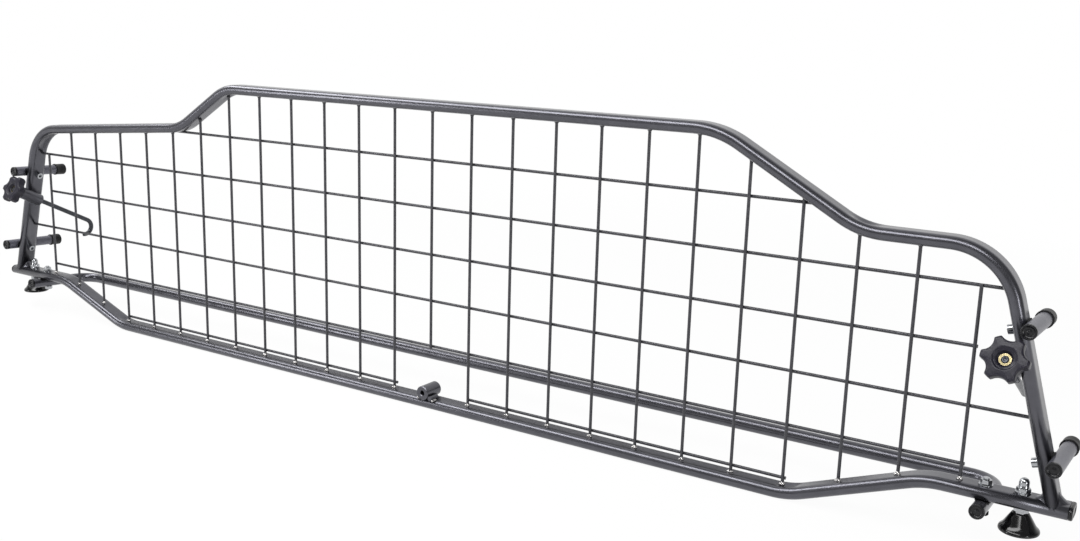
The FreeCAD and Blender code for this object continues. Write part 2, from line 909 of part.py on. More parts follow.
def dome_nut():
    """Dome nut: hexagon, domed top and a blind bore over the stud."""
    seat = upward * (bar_top + washer_thickness)
    body = hex_prism(dome_nut_flats, dome_nut_hex_height, seat, upward, hex_corner_chamfer)
    radius = dome_diameter / 2
    ball_centre = seat + upward * (dome_nut_height - radius)
    outline = [seat]
    outline.append(seat + right * radius)
    for band in range(dome_bands + 1):
        angle = math.pi / 2 * band / dome_bands
        outline.append(ball_centre + (right * math.cos(angle) + upward * math.sin(angle)) * radius)
    outline.append(seat)
    dome = Part.Face(Part.makePolygon(outline)).revolve(seat, upward, full_turn)
    bore = stud_diameter + 2 * running_clearance
    room = upward * (stud_top_height + dome_bore_room)
    return body.fuse(dome).cut(cylinder(bore, seat, room)).removeSplitter()


def middle_boss():
    """Round boss on the low bar with a threaded hole in its front face."""
    height = bar_low_height + tube_radius + boss_diameter / 2 - boss_sink
    reach = column_reach(short_column) - boss_from_short_column
    front = vector(reach, boss_front, height)
    rear = vector(reach, boss_rear, height)
    middle = (front + rear) / 2
    body = chamfered(boss_diameter, boss_edge_chamfer, middle, front)
    body = body.fuse(chamfered(boss_diameter, boss_edge_chamfer, middle, rear)).removeSplitter()
    body = body.cut(cylinder(boss_bore, front, front + rearward * boss_bore_depth))
    mouth = boss_bore + 2 * boss_mouth_chamfer
    return body.cut(cone(mouth, boss_bore, front, front + rearward * boss_mouth_chamfer))


def boss_pin():
    """Short round pin welded beside the boss."""
    height = bar_low_height + tube_radius + pin_diameter / 2 - pin_sink
    reach = column_reach(short_column) - boss_from_short_column + pin_from_boss
    front = vector(reach, pin_front, height)
    return cylinder(pin_diameter, front, front + rearward * pin_length)


# Tubes, filled first so that wires and welds can be trimmed to them
arch_filled = arch_solid(flat_oval, tube_depth, tube_thickness)
bar_filled = bar_solid(flat_oval, tube_depth, tube_thickness)
hollow = (flat_oval_core, tube_depth - 2 * tube_wall, tube_thickness - 2 * tube_wall)
arch = arch_filled.cut(arch_solid(*hollow)).cut(bar_filled)
bar = bar_filled.cut(bar_solid(*hollow))

# Holes for the arm screws, the rail bolts and the foot studs
arm_places = {"upper": arm_placement(upper_arm_height), "lower": arm_placement(lower_arm_height)}
for place in arm_places.values():
    for drill in both_sides(placed(arm_screw_drill(), place)):
        arch = arch.cut(drill)
for reach, hole in ((rail_leg_reach, rail_bolt_hole), (foot_reach, stud_hole)):
    middle = vector(reach, 0, bar_end_height)
    span = upward * (tube_radius + cut_overrun)
    for drill in both_sides(cylinder(hole, middle - span, middle + span)):
        bar = bar.cut(drill)
save("frame_arch", [arch])
save("bottom_bar", [bar])

# Mesh
frame_inside = inside_of_frame()
save("upright_wires", [trimmed(column_wire(column)) for column in range(last_column + 1)])
save("level_wires", [trimmed(wire) for wire in row_wires()])
collars = []
for column in range(last_column + 1):
    if column != short_column:
        collars.append(wire_weld(column).cut(bar_filled).cut(column_wire(column)))
save("wire_welds", collars)

# Welds of the frame
beads = []
for side_of_upright in (-1, 1):
    bead = upright_weld(side_of_upright).cut(arch_filled).cut(bar_filled)
    beads.extend(both_sides(bead))
save("upright_welds", beads)

# Bottom bar's end plugs and the rear rail
save("bar_end_plugs", both_sides(bar_plug()))
save("rear_rail", [rail()])
save("rail_plugs", both_sides(rail_plug()))
save("rail_pads", both_sides(rail_pad()))
save("rail_bolts", both_sides(rail_bolt()))
save("rail_washers", both_sides(rail_washer()))
save("rail_nuts", both_sides(rail_nut()))

# Arms
pads = []
screws = []
for level, place in arm_places.items():
    rear = upper_arm_rear if level == "upper" else lower_arm_rear
    pieces = {
        "tube": arm_tube(rear),
        "cap": arm_cap(rear),
        "plug": arm_front_plug(),
        "insert": arm_insert(),
    }
    for piece, shape in pieces.items():
        set_in_place = placed(shape, place, arm_turn())
        save(level + "_arm_" + piece + "_right", [set_in_place])
        save(level + "_arm_" + piece + "_left", [mirrored(set_in_place)])
    pads.extend(both_sides(placed(arm_pad(), place)))
    screws.extend(both_sides(placed(arm_screw(), place)))
save("arm_pads", pads)
save("arm_screws", screws)

# Hook clamps: the left hook hangs down, the right one is turned up
sleeves = []
sleeve_beads = []
for name, side, down, turn in (("left", -1, 1, left_knob_turn), ("right", 1, -1, right_knob_turn)):
    place = clamp_placement(side)
    guide = placed(sleeve(), place).cut(arch_filled)
    sleeves.append(guide)
    filled = placed(cylinder(sleeve_diameter, upward * sleeve_front, upward * sleeve_rear), place)
    for above in (-1, 1):
        bead = placed(sleeve_weld(side, above), place).cut(arch_filled).cut(filled)
        sleeve_beads.extend(bead.Solids)
    save("hook_bolt_" + name, [placed(hook_rod(down), place)])
    save("clamp_washer_" + name, [placed(clamp_washer(), place)])
    save("knob_" + name, [placed(knob(turn), place)])
    save("knob_insert_" + name, [placed(knob_insert(), place)])
save("hook_sleeves", sleeves)
save("sleeve_welds", sleeve_beads)

# Feet
foot_places = {"left": vector(-foot_reach, 0, 0), "right": vector(foot_reach, 0, 0)}
unturned = FreeCAD.Rotation()
foot_washers = []
for spot in foot_places.values():
    foot_washers.append(placed(foot_washer(), FreeCAD.Placement(spot, unturned)))
save("foot_washers", foot_washers)
foot_pieces = {
    "foot_pad": foot_pad(),
    "foot_stud": foot_stud(),
    "lock_nut": lock_nut(),
    "dome_nut": dome_nut(),
}
for name, shape in foot_pieces.items():
    for side, spot in foot_places.items():
        save(name + "_" + side, [placed(shape, FreeCAD.Placement(spot, unturned))])

# Middle boss
save("middle_boss", [middle_boss().cut(bar_filled)])
save("boss_pin", [boss_pin().cut(bar_filled)])
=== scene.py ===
"""Looks of a car dog guard: coated frame, wire mesh, hook clamps, capped arms, rear rail and feet.

All places are in the CAD's frame: X across the guard, Y from the viewer to the rear, Z up.
Sizes are millimetres, unless a comment or a docstring says metres.
"""
import json
import logging
import math
from dataclasses import dataclass
from enum import Enum
from typing import Callable, Optional, Sequence

import bmesh
import bpy
from bpy.types import ID, Material, Mesh, Node, NodeSocket, NodeTree, Object
from mathutils import Matrix, Vector


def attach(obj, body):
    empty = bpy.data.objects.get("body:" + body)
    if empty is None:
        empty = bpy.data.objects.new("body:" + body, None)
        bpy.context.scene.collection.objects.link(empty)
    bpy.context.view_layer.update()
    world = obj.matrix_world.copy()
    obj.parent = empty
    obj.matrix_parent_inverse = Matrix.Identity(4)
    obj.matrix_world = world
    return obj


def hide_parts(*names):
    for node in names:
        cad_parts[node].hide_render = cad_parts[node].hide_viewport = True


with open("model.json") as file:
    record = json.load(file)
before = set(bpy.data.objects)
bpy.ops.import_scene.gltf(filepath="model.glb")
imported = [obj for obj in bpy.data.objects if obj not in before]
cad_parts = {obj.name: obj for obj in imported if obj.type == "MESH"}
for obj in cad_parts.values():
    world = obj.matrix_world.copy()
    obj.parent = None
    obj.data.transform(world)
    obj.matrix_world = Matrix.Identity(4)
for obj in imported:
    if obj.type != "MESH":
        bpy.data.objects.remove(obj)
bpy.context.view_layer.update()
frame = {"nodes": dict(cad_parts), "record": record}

MM = 0.001
MERGE_DISTANCE = 0.001 * MM
LOG = logging.getLogger("dog_guard")
Pair = tuple[float, float]
Triple = tuple[float, float, float]
Sizes = dict[str, object]


class Side(Enum):
    """The two ends of the guard, with the sign of their X."""

    LEFT = -1
    RIGHT = 1

    @property
    def word(self) -> str:
        """The side's name as the CAD nodes have it."""
        return self.name.lower()


def point(x: float, y: float, z: float) -> Vector:
    """A point in metres from its millimetres across, to the rear and up."""
    return Vector((x, y, z)) * MM


def linear(colour: str) -> tuple[float, float, float, float]:
    """Turns an sRGB hex colour to linear light.

    Args:
        colour: six hex digits after a hash.

    Returns:
        Red, green, blue and full alpha.
    """
    parts = [int(colour[start : start + 2], 16) / 255 for start in (1, 3, 5)]
    return (*(part / 12.92 if part <= 0.04045 else ((part + 0.055) / 1.055) ** 2.4 for part in parts), 1.0)


def add_node(tree: NodeTree, kind: str, settings: dict, links: Optional[dict] = None) -> Node:
    """Adds a node with its settings and its incoming links.

    Args:
        tree: the tree that gets the node.
        kind: the node's type name.
        settings: properties, or default values of sockets by name or number.
        links: sockets by name or number, each with the socket that feeds it.

    Returns:
        The new node.
    """
    node = tree.nodes.new(kind)
    for key, value in settings.items():
        if isinstance(key, str) and hasattr(node, key):
            setattr(node, key, value)
        else:
            node.inputs[key].default_value = value
    for key, source in (links or {}).items():
        tree.links.new(source, node.inputs[key])
    return node


def empty_tree(owner: ID) -> NodeTree:
    """Turns on the nodes of a material or of the world, and clears them."""
    owner.use_nodes = True
    owner.node_tree.nodes.clear()
    return owner.node_tree


def add_object(name: str, data: ID) -> Object:
    """Puts an object with its data in the scene."""
    made = bpy.data.objects.new(name, data)
    bpy.context.scene.collection.objects.link(made)
    return made


@dataclass(frozen=True)
class Finish:
    """A surface: the slot it fills, its colours, its gloss and its fine pattern.

    The pattern reads Object coordinates, so it lies in real millimetres: a grain that
    mixes the two colours and lifts the surface, and wider patches that swing the gloss.
    """

    name: str
    slot: str
    colour: str
    grain_colour: str
    roughness: float
    grain: float
    depth: float
    patch: float
    swing: float = 0.06
    metallic: float = 1.0
    coat: float = 0.0
    coat_roughness: float = 0.1
    specular: float = 0.5

    def material(self) -> Material:
        """The material, made once and then reused."""
        return bpy.data.materials.get(self.name) or self.new_material()

    def new_material(self) -> Material:
        """Builds the material.

        Returns:
            The new material.
        """
        material = bpy.data.materials.new(self.name)
        tree = empty_tree(material)
        place = {"Vector": add_node(tree, "ShaderNodeTexCoord", {}).outputs["Object"]}
        fine = {"Scale": 1 / (self.grain * MM), "Detail": 3.0, "Roughness": 0.55}
        grain = add_node(tree, "ShaderNodeTexNoise", fine, place).outputs["Fac"]
        broad = {"Scale": 1 / (self.patch * MM)}
        patches = add_node(tree, "ShaderNodeTexNoise", broad, place).outputs["Fac"]
        # Noise keeps near 0.5, so these spans take in almost all of it.
        spread = add_node(tree, "ShaderNodeMapRange", {"From Min": 0.35, "From Max": 0.65}, {"Value": grain})
        colours = {"data_type": "RGBA", 6: linear(self.colour), 7: linear(self.grain_colour)}
        tint = add_node(tree, "ShaderNodeMix", colours, {0: spread.outputs["Result"]})
        limits = {"To Min": self.roughness - self.swing, "To Max": self.roughness + self.swing}
        limits |= {"From Min": 0.3, "From Max": 0.7}
        gloss = add_node(tree, "ShaderNodeMapRange", limits, {"Value": patches})
        bump = add_node(tree, "ShaderNodeBump", {"Distance": self.depth * MM}, {"Height": grain})
        look = {"Metallic": self.metallic, "Specular IOR Level": self.specular}
        look |= {"Coat Weight": self.coat, "Coat Roughness": self.coat_roughness}
        pattern = {"Base Color": tint.outputs[2], "Roughness": gloss.outputs["Result"]}
        pattern |= {"Normal": bump.outputs["Normal"]}
        shader = add_node(tree, "ShaderNodeBsdfPrincipled", look, pattern)
        add_node(tree, "ShaderNodeOutputMaterial", {}, {"Surface": shader.outputs["BSDF"]})
        return material


# Polyester powder coat with aluminium flake, sprayed and baked on steel tube:
# dark blue-grey, long pale highlights, faint clouding about 14 mm across.
TUBE_COAT = Finish(
    "metallic_powder_coat_on_tube", "graphite_coat", "#535359", "#59595F",
    metallic=0.88, roughness=0.29, swing=0.02, grain=14.0, depth=0.0005, patch=60.0,
    coat=0.2, coat_roughness=0.2,
)
# The same coat on the short arms: a paler grey, less metallic and more satin.
ARM_COAT = Finish(
    "satin_powder_coat_on_arm", "graphite_coat", "#5C5C66", "#666670",
    metallic=0.45, roughness=0.42, swing=0.04, grain=1.8, depth=0.005, patch=30.0,
    coat=0.2, coat_roughness=0.3,
)
# The same coat on drawn wire: a darker, slightly warmer grey, and duller.
WIRE_COAT = Finish(
    "metallic_powder_coat_on_wire", "graphite_coat", "#38383C", "#3E3E43",
    metallic=0.45, roughness=0.4, swing=0.04, grain=6.0, depth=0.004, patch=45.0,
    coat=0.2, coat_roughness=0.3,
)
# The coat over weld metal: the same grey, brighter where it pulls thin on the ripples.
WELD_COAT = Finish(
    "powder_coat_over_weld", "weld_metal", "#3E3F48", "#5E6069",
    metallic=0.7, roughness=0.26, grain=0.9, depth=0.04, patch=8.0,
    coat=0.4, coat_roughness=0.15,
)
# Bare spatter and weld ends that took no coat: bright steel.
WELD_STEEL = Finish(
    "bare_weld_steel", "weld_metal", "#8A8989", "#CFCDCB",
    roughness=0.25, swing=0.1, grain=0.8, depth=0.05, patch=5.0,
)
# Bright zinc electroplate, barrel plated: fine frosty grain about 1 mm, drawn that coarse to show.
ZINC = Finish(
    "bright_zinc_plate", "zinc_steel", "#97999C", "#B4B6B9",
    roughness=0.16, swing=0.05, grain=1.0, depth=0.003, patch=6.0,
)
# Zinc-plated drawn rod, handled and dulled, with smudges about 9 mm across. Its dark grey colour is painted
# reflection: zinc darkened to stand in for the dark surroundings it mirrors.
DULL_ZINC_PAINTED_DARK = Finish(
    "dull_zinc_plated_rod", "zinc_steel", "#3E4044", "#4C4E53",
    metallic=0.85, roughness=0.34, grain=1.2, depth=0.006, patch=9.0,
)
# Turned brass insert: warm, with tool marks under a millimetre across, drawn that coarse to show.
BRASS = Finish(
    "turned_brass", "brass", "#7E7352", "#BDB08A",
    roughness=0.22, grain=0.8, depth=0.01, patch=4.0,
)
# Glass-filled nylon, injection moulded and spark-eroded: blue-black with a satin grain.
KNOB_NYLON = Finish(
    "moulded_glass_filled_nylon", "knob_plastic", "#1B1A23", "#26242F",
    metallic=0.0, roughness=0.38, swing=0.05, grain=0.9, depth=0.01, patch=14.0, specular=0.3,
)
# Polished ABS, injection moulded: deep black with a wet gloss.
FOOT_ABS = Finish(
    "polished_moulded_abs", "foot_plastic", "#050506", "#0A0A0B",
    metallic=0.0, roughness=0.15, swing=0.04, grain=3.0, depth=0.004, patch=20.0, specular=0.45,
)
# Polyethylene, injection moulded: soft black, slightly waxy.
PLUG_POLYETHYLENE = Finish(
    "moulded_polyethylene", "black_plastic", "#0C0C0F", "#141418",
    metallic=0.0, roughness=0.26, grain=1.1, depth=0.006, patch=9.0, specular=0.35,
)
# Moulded EPDM rubber: flat black with dusty grey patches.
RUBBER = Finish(
    "moulded_epdm_rubber", "black_rubber", "#111112", "#1D1D1F",
    metallic=0.0, roughness=0.5, swing=0.08, grain=1.2, depth=0.015, patch=7.0, specular=0.25,
)

SLOT_FINISHES: dict[str, Finish] = {
    finish.slot: finish
    for finish in (TUBE_COAT, WELD_COAT, ZINC, PLUG_POLYETHYLENE, KNOB_NYLON, FOOT_ABS, RUBBER, BRASS)
}
NODE_FINISHES: dict[str, Finish] = {"upright_wires": WIRE_COAT, "level_wires": WIRE_COAT}
for end in Side:
    # The hook bolts take the zinc whose dark grey is painted reflection.
    NODE_FINISHES["hook_bolt_" + end.word] = DULL_ZINC_PAINTED_DARK
    NODE_FINISHES["upper_arm_tube_" + end.word] = ARM_COAT
    NODE_FINISHES["lower_arm_tube_" + end.word] = ARM_COAT


def new_piece(
    name: str,
    mesh: Mesh,
    finish: Finish,
    body: str,
    node: Optional[str] = None,
    matrix: Optional[Matrix] = None,
) -> Object:
    """Puts a mesh in the scene as a piece, smooth but for its flat caps of many corners.

    Args:
        name: the piece's name.
        mesh: its mesh in metres.
        finish: its surface.
        body: the body that it rides on.
        node: the CAD node that it replaces, if any.
        matrix: where the mesh goes, if it isn't in place. A mirror's faces are turned out again.

    Returns:
        The new object.
    """
    mesh.name = name
    if matrix:
        mesh.transform(matrix)
        if matrix.determinant() < 0:
            mesh.flip_normals()
        mesh.update()
    mesh.materials.clear()
    mesh.materials.append(finish.material())
    for face in mesh.polygons:
        face.use_smooth = len(face.vertices) <= 4
    piece = add_object(name, mesh)
    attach(piece, body)
    if node:
        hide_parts(node)
    return piece


def grid_mesh(rings: Sequence[Sequence[Vector]], close_ends: bool = True) -> Mesh:
    """Skins closed rings of points.

    Args:
        rings: the rings in order, each with the same count.
        close_ends: True to cap the first and the last ring.

    Returns:
        The mesh, its faces pointing outwards.
    """
    work = bmesh.new()
    made = [[work.verts.new(spot) for spot in ring] for ring in rings]
    for lower, upper in zip(made, made[1:]):
        for index, corner in enumerate(lower):
            after = (index + 1) % len(lower)
            work.faces.new((corner, lower[after], upper[after], upper[index]))
    if close_ends:
        work.faces.new(made[0])
        work.faces.new(made[-1])
    bmesh.ops.remove_doubles(work, verts=work.verts, dist=MERGE_DISTANCE)
    bmesh.ops.recalc_face_normals(work, faces=work.faces)
    mesh = bpy.data.meshes.new("skin")
    work.to_mesh(mesh)
    work.free()
    return mesh


def circle(count: int, reach: Callable[[float], float], height: float, turn: float = 0.0) -> list[Vector]:
    """Points once around local Z.

    Args:
        count: the number of points.
        reach: the radius at an angle.
        height: the ring's height.
        turn: how far the ring is turned, in radians.

    Returns:
        The ring in metres.
    """
    ring = []
    for step in range(count):
        angle = 2 * math.pi * step / count
        radius = reach(angle)
        ring.append(point(radius * math.cos(angle + turn), radius * math.sin(angle + turn), height))
    return ring


def revolved(profile: Sequence[Pair], segments: int) -> Mesh:
    """Turns a closed profile, radius and height from pole to pole, about local Z."""
    return grid_mesh([circle(segments, lambda angle: radius, height) for radius, height in profile])


def rod_matrix(across: float, height: float, droop: float, lean: float = 0.0) -> Matrix:
    """Local Z along a rod to the rear.

    Args:
        across: place of the rod's origin across the guard.
        height: its height.
        droop: how far the rod's rear end points down, in radians.
        lean: how far the rod is turned with the upright, in radians.

    Returns:
        The matrix.
    """
    place = Matrix.Translation(point(across, 0, height)) @ Matrix.Rotation(-lean, 4, "Y")
    return place @ Matrix.Rotation(-droop - math.pi / 2, 4, "X")


def rounded(start: Pair, corner: Pair, end: Pair, steps: int) -> list[Pair]:
    """A smooth bend of a profile from one point past a corner to another.

    Args:
        start: where the bend starts.
        corner: the corner that it rounds off.
        end: where the bend ends.
        steps: the number of pieces.

    Returns:
        The points of the bend, both ends included.
    """
    bend = []
    for step in range(steps + 1):
        share = step / steps
        first, middle, last = (1 - share) ** 2, 2 * share * (1 - share), share**2
        across, up = (first * a + middle * b + last * c for a, b, c in zip(start, corner, end))
        bend.append((across, up))
    return bend


def profile_of(*parts: tuple) -> list[Pair]:
    """Strings a profile together.

    Args:
        parts: points, and bends as rounded takes them.

    Returns:
        The profile's points.
    """
    profile = []
    for part in parts:
        profile += rounded(*part) if len(part) > 2 else [part]
    return profile


@dataclass(frozen=True)
class PathSpot:
    """A sample of a tube's centre line in the plane of the guard.

    Its bend is 1 in the middle of a bend whose centre lies above the line, -1 where it
    lies below, and fades to 0 at the ends of the bend.
    """

    x: float
    z: float
    along: Pair
    bend: float


def bent_path(corners: Sequence[Pair], radii: Sequence[float], step: float) -> list[PathSpot]:
    """Straight runs joined by round bends.

    Args:
        corners: the corners across and up, both ends included.
        radii: the radius of each bend.
        step: the angle between samples of a bend, in radians.

    Returns:
        The samples from the first corner to the last.
    """
    places = [Vector(corner) for corner in corners]
    arriving = (places[1] - places[0]).normalized()
    spots = [PathSpot(places[0].x, places[0].y, tuple(arriving), 0.0)]
    for index, radius in enumerate(radii):
        corner = places[index + 1]
        leaving = (places[index + 2] - corner).normalized()
        turn = arriving.angle_signed(leaving)
        hand = -1.0 if turn > 0 else 1.0
        start = corner - arriving * radius * math.tan(abs(turn) / 2)
        centre = start + Vector((-arriving.y, arriving.x)) * hand * radius
        arm = start - centre
        count = max(8, math.ceil(abs(turn) / step))
        for part in range(count + 1):
            angle = hand * abs(turn) * part / count
            cos_a, sin_a = math.cos(angle), math.sin(angle)
            place = centre + Vector((arm.x * cos_a - arm.y * sin_a, arm.x * sin_a + arm.y * cos_a))
            way = (arriving.x * cos_a - arriving.y * sin_a, arriving.x * sin_a + arriving.y * cos_a)
            spots.append(PathSpot(place.x, place.y, way, hand * math.sin(math.pi * part / count) ** 2))
        arriving = leaving
    spots.append(PathSpot(places[-1].x, places[-1].y, tuple(arriving), 0.0))
    return spots


@dataclass(frozen=True)
class GuardFrame:
    """Sizes and places of the frame's tubes and mesh that several pieces share."""

    tube_radius: float = 5.6
    tube_flat: float = 5.9
    lean: float = math.radians(15.8)
    bar_end: float = 684.2
    bar_height: float = 26.5
    bar_low: float = -16.5
    outer_ramp: float = 573.5
    inner_ramp: float = 457.5
    bar_bend: float = 80.0
    foot_reach: float = 671.3
    shoulder: float = 227.0
    left_rise: float = 23.0
    top: float = 301.0
    left_shoulder: float = 286.45
    left_ramp: float = 81.0
    right_shoulder: float = 114.15
    right_ramp: float = 132.0
    bends: tuple[float, ...] = (56.0, 70.0, 60.0, 90.0, 75.0, 56.0)
    bend_step: float = math.radians(3)
    pitch: float = 50.0
    columns_each_side: int = 12
    short_column: int = 1
    low_row: float = -5.5
    rows: int = 6
    wire_radius: float = 1.5
    rail_reach: float = 620.5
    rail_height: float = 16.65
    rail_droop: float = math.radians(3)

    def upright_reach(self, height: float) -> float:
        """Distance of an upright's centre line from the middle at a height."""
        return self.foot_reach - math.tan(self.lean) * (height - self.bar_height - self.tube_radius)

    @property
    def arch(self) -> list[PathSpot]:
        """The centre line of the upper frame.

        Returns:
            Its samples from the left foot to the right one.
        """
        corner = self.upright_reach(self.shoulder)
        foot = self.upright_reach(self.bar_height)
        ramp_foot = self.left_shoulder - corner
        ramp_end = corner - self.right_shoulder
        corners = [(-foot, self.bar_height), (-corner, self.shoulder)]
        corners += [(ramp_foot, self.shoulder + self.left_rise), (ramp_foot + self.left_ramp, self.top)]
        corners += [(ramp_end - self.right_ramp, self.top), (ramp_end, self.shoulder)]
        corners += [(corner, self.shoulder), (foot, self.bar_height)]
        return bent_path(corners, self.bends, self.bend_step)

    @property
    def bar(self) -> list[PathSpot]:
        """The centre line of the bottom bar.

        Returns:
            Its samples from left to right.
        """
        half = [(self.inner_ramp, self.bar_low), (self.outer_ramp, self.bar_height)]
        half += [(self.bar_end, self.bar_height)]
        corners = [(-x, z) for x, z in reversed(half)] + half
        return bent_path(corners, [self.bar_bend] * 4, self.bend_step)

    def columns(self, last: int) -> range:
        """The upright wires up to the last one on each side, counted from the middle."""
        return range(-last, last + 1)

    def row(self, index: int) -> float:
        """Height of a level wire."""
        return self.low_row + index * self.pitch

    def height_on(self, path: Sequence[PathSpot], reach: float) -> Pair:
        """Height and slope of a centre line at a place across the guard.

        Args:
            path: the centre line's samples.
            reach: the place across.

        Returns:
            The height and the slope.
        """
        for low, high in zip(path, path[1:]):
            if low.x <= reach <= high.x and high.x - low.x > MERGE_DISTANCE:
                slope = (high.z - low.z) / (high.x - low.x)
                return low.z + slope * (reach - low.x), slope
        return path[0].z, 0.0

    def crossings(self, path: Sequence[PathSpot], height: float) -> Pair:
        """The outermost places where a centre line passes a height.

        Args:
            path: the centre line's samples.
            height: the height.

        Returns:
            The leftmost and the rightmost place across.
        """
        places = []
        for low, high in zip(path, path[1:]):
            if (low.z - height) * (high.z - height) <= 0 and low.z != high.z:
                places.append(low.x + (high.x - low.x) * (height - low.z) / (high.z - low.z))
        return min(places), max(places)


GUARD = GuardFrame()


def oval(radius: float, round_steps: int, flat_steps: int = 1) -> list[Pair]:
    """Points around a flat-oval section as wide as the frame's tube.

    Args:
        radius: the radius of its round sides.
        round_steps: the number of pieces of each round side.
        flat_steps: the number of pieces of each flat.

    Returns:
        Their depth and height, once around.
    """
    spots = []
    for side in (1, -1):
        for step in range(round_steps + 1):
            angle = math.pi * step / round_steps
            depth = side * (GUARD.tube_flat + radius * math.sin(angle))
            spots.append((depth, side * radius * math.cos(angle)))
        for step in range(1, flat_steps):
            spots.append((side * GUARD.tube_flat * (1 - 2 * step / flat_steps), -side * radius))
    return spots


@dataclass
class FrameTube:
    """A flat-oval tube along a bent centre line, its flats drawn in on the inner side of the bends.

    The dent reaches across the flat and a share of the round sides.
    """

    name: str
    node: str
    path: list[PathSpot]
    level_ends: bool = False
    round_steps: int = 18
    flat_steps: int = 8
    dent: float = 2.1
    dent_share: float = 0.4

    def section(self, bend: float) -> list[Pair]:
        """Points around the tube.

        Args:
            bend: the sample's bend.

        Returns:
            Their depth and height, once around.
        """
        reach = GUARD.tube_flat + self.dent_share * GUARD.tube_radius
        dented = []
        for depth, height in oval(GUARD.tube_radius, self.round_steps, self.flat_steps):
            if height * bend > 0 and abs(depth) < reach:
                height -= bend * self.dent * math.cos(math.pi / 2 * depth / reach) ** 2
            dented.append((depth, height))
        return dented

    def build(self) -> list[Object]:
        """Builds the tube.

        Returns:
            The piece, in a list.
        """
        rings = []
        for spot in self.path:
            (along_x, along_z), ring = spot.along, []
            cut = self.level_ends and spot in (self.path[0], self.path[-1])
            for depth, height in self.section(spot.bend):
                slide = -along_x * height / along_z if cut else 0.0
                x = spot.x - along_z * height + along_x * slide
                ring.append(point(x, depth, spot.z + along_x * height + along_z * slide))
            rings.append(ring)
        return [new_piece(self.name, grid_mesh(rings), TUBE_COAT, "frame", self.node)]


class RepeatTree:
    """A Geometry Nodes tree that turns points, or lines between pairs of them, into one piece."""

    joins_pairs: bool = False

    def __init__(self, name: str, sizes: dict[str, str]) -> None:
        """Starts the tree with its named inputs.

        Args:
            name: the tree's name.
            sizes: the kind of each input for a size.
        """
        self.tree = bpy.data.node_groups.new(name, "GeometryNodeTree")
        self.inputs: dict[str, str] = {}
        face = self.tree.interface
        for label, kind in {"Spots": "Geometry", **sizes, "Finish": "Material"}.items():
            socket = face.new_socket(label, in_out="INPUT", socket_type="NodeSocket" + kind)
            self.inputs[label] = socket.identifier
        face.new_socket("Piece", in_out="OUTPUT", socket_type="NodeSocketGeometry")
        self.given = add_node(self.tree, "NodeGroupInput", {}).outputs

    def close(self, shape: NodeSocket) -> None:
        """Ends the tree: makes the shape real and gives it its finish.

        Args:
            shape: the socket with the shape.
        """
        solid = add_node(self.tree, "GeometryNodeRealizeInstances", {}, {0: shape})
        links = {"Geometry": solid.outputs[0], "Material": self.given["Finish"]}
        dressed = add_node(self.tree, "GeometryNodeSetMaterial", {}, links)
        add_node(self.tree, "NodeGroupOutput", {}, {"Piece": dressed.outputs[0]})

    def run(
        self, name: str, spots: Sequence[Vector], finish: Finish, sizes: Sizes, node: Optional[str] = None
    ) -> Object:
        """Makes one piece of the frame.

        Args:
            name: the piece's name.
            spots: the points, in metres.
            finish: the surface.
            sizes: the value of each input for a size, lengths in metres.
            node: the CAD node that the piece replaces, if any.

        Returns:
            The piece as a plain mesh.
        """
        starts = range(0, len(spots), 2) if self.joins_pairs else ()
        mesh = bpy.data.meshes.new(name + "_spots")
        mesh.from_pydata([tuple(spot) for spot in spots], [(start, start + 1) for start in starts], [])
        carrier = add_object(name + "_carrier", mesh)
        modifier = carrier.modifiers.new("repeat", "NODES")
        modifier.node_group = self.tree
        for label, value in {**sizes, "Finish": finish.material()}.items():
            modifier[self.inputs[label]] = value
        graph = bpy.context.evaluated_depsgraph_get()
        result = bpy.data.meshes.new_from_object(carrier.evaluated_get(graph))
        carrier.modifiers.remove(modifier)
        bpy.data.objects.remove(carrier)
        return new_piece(name, result, finish, "frame", node)


class WireRuns(RepeatTree):
    """Drawn wires: every line becomes a round bar."""

    joins_pairs: bool = True
    sides: int = 20

    def __init__(self) -> None:
        """Builds the tree once."""
        super().__init__("drawn_wires", {"Wire Radius": "Float"})
        tree, given = self.tree, self.given
        lines = add_node(tree, "GeometryNodeMeshToCurve", {}, {"Mesh": given["Spots"]})
        ring = {"Radius": given["Wire Radius"]}
        section = add_node(tree, "GeometryNodeCurvePrimitiveCircle", {"Resolution": self.sides}, ring)
        curves = {"Curve": lines.outputs["Curve"], "Profile Curve": section.outputs["Curve"]}
        bars = add_node(tree, "GeometryNodeCurveToMesh", {"Fill Caps": True}, curves)
        self.close(bars.outputs["Mesh"])


class WeldDrops(RepeatTree):
    """Weld beads: overlapping drops of slightly different sizes on given points."""

    def __init__(self) -> None:
        """Builds the tree once."""
        sizes = {"Drop Radius": "Float", "Size Spread": "Float", "Stretch": "Vector", "Seed": "Int"}
        super().__init__("weld_drops", sizes)
        tree, given = self.tree, self.given
        ball = {"Radius": given["Drop Radius"]}
        drop = add_node(tree, "GeometryNodeMeshIcoSphere", {"Subdivisions": 3}, ball)
        spread = {1: given["Size Spread"]}
        low = add_node(tree, "ShaderNodeMath", {"operation": "SUBTRACT", 0: 1.0}, spread)
        high = add_node(tree, "ShaderNodeMath", {"operation": "ADD", 0: 1.0}, spread)
        limits = {2: low.outputs[0], 3: high.outputs[0], "Seed": given["Seed"]}
        scatter = add_node(tree, "FunctionNodeRandomValue", {}, limits)
        stretch = {0: given["Stretch"], "Scale": scatter.outputs[1]}
        scale = add_node(tree, "ShaderNodeVectorMath", {"operation": "SCALE"}, stretch)
        spots = {"Points": given["Spots"], "Instance": drop.outputs["Mesh"], "Scale": scale.outputs[0]}
        drops = add_node(tree, "GeometryNodeInstanceOnPoints", {}, spots)
        self.close(drops.outputs["Instances"])


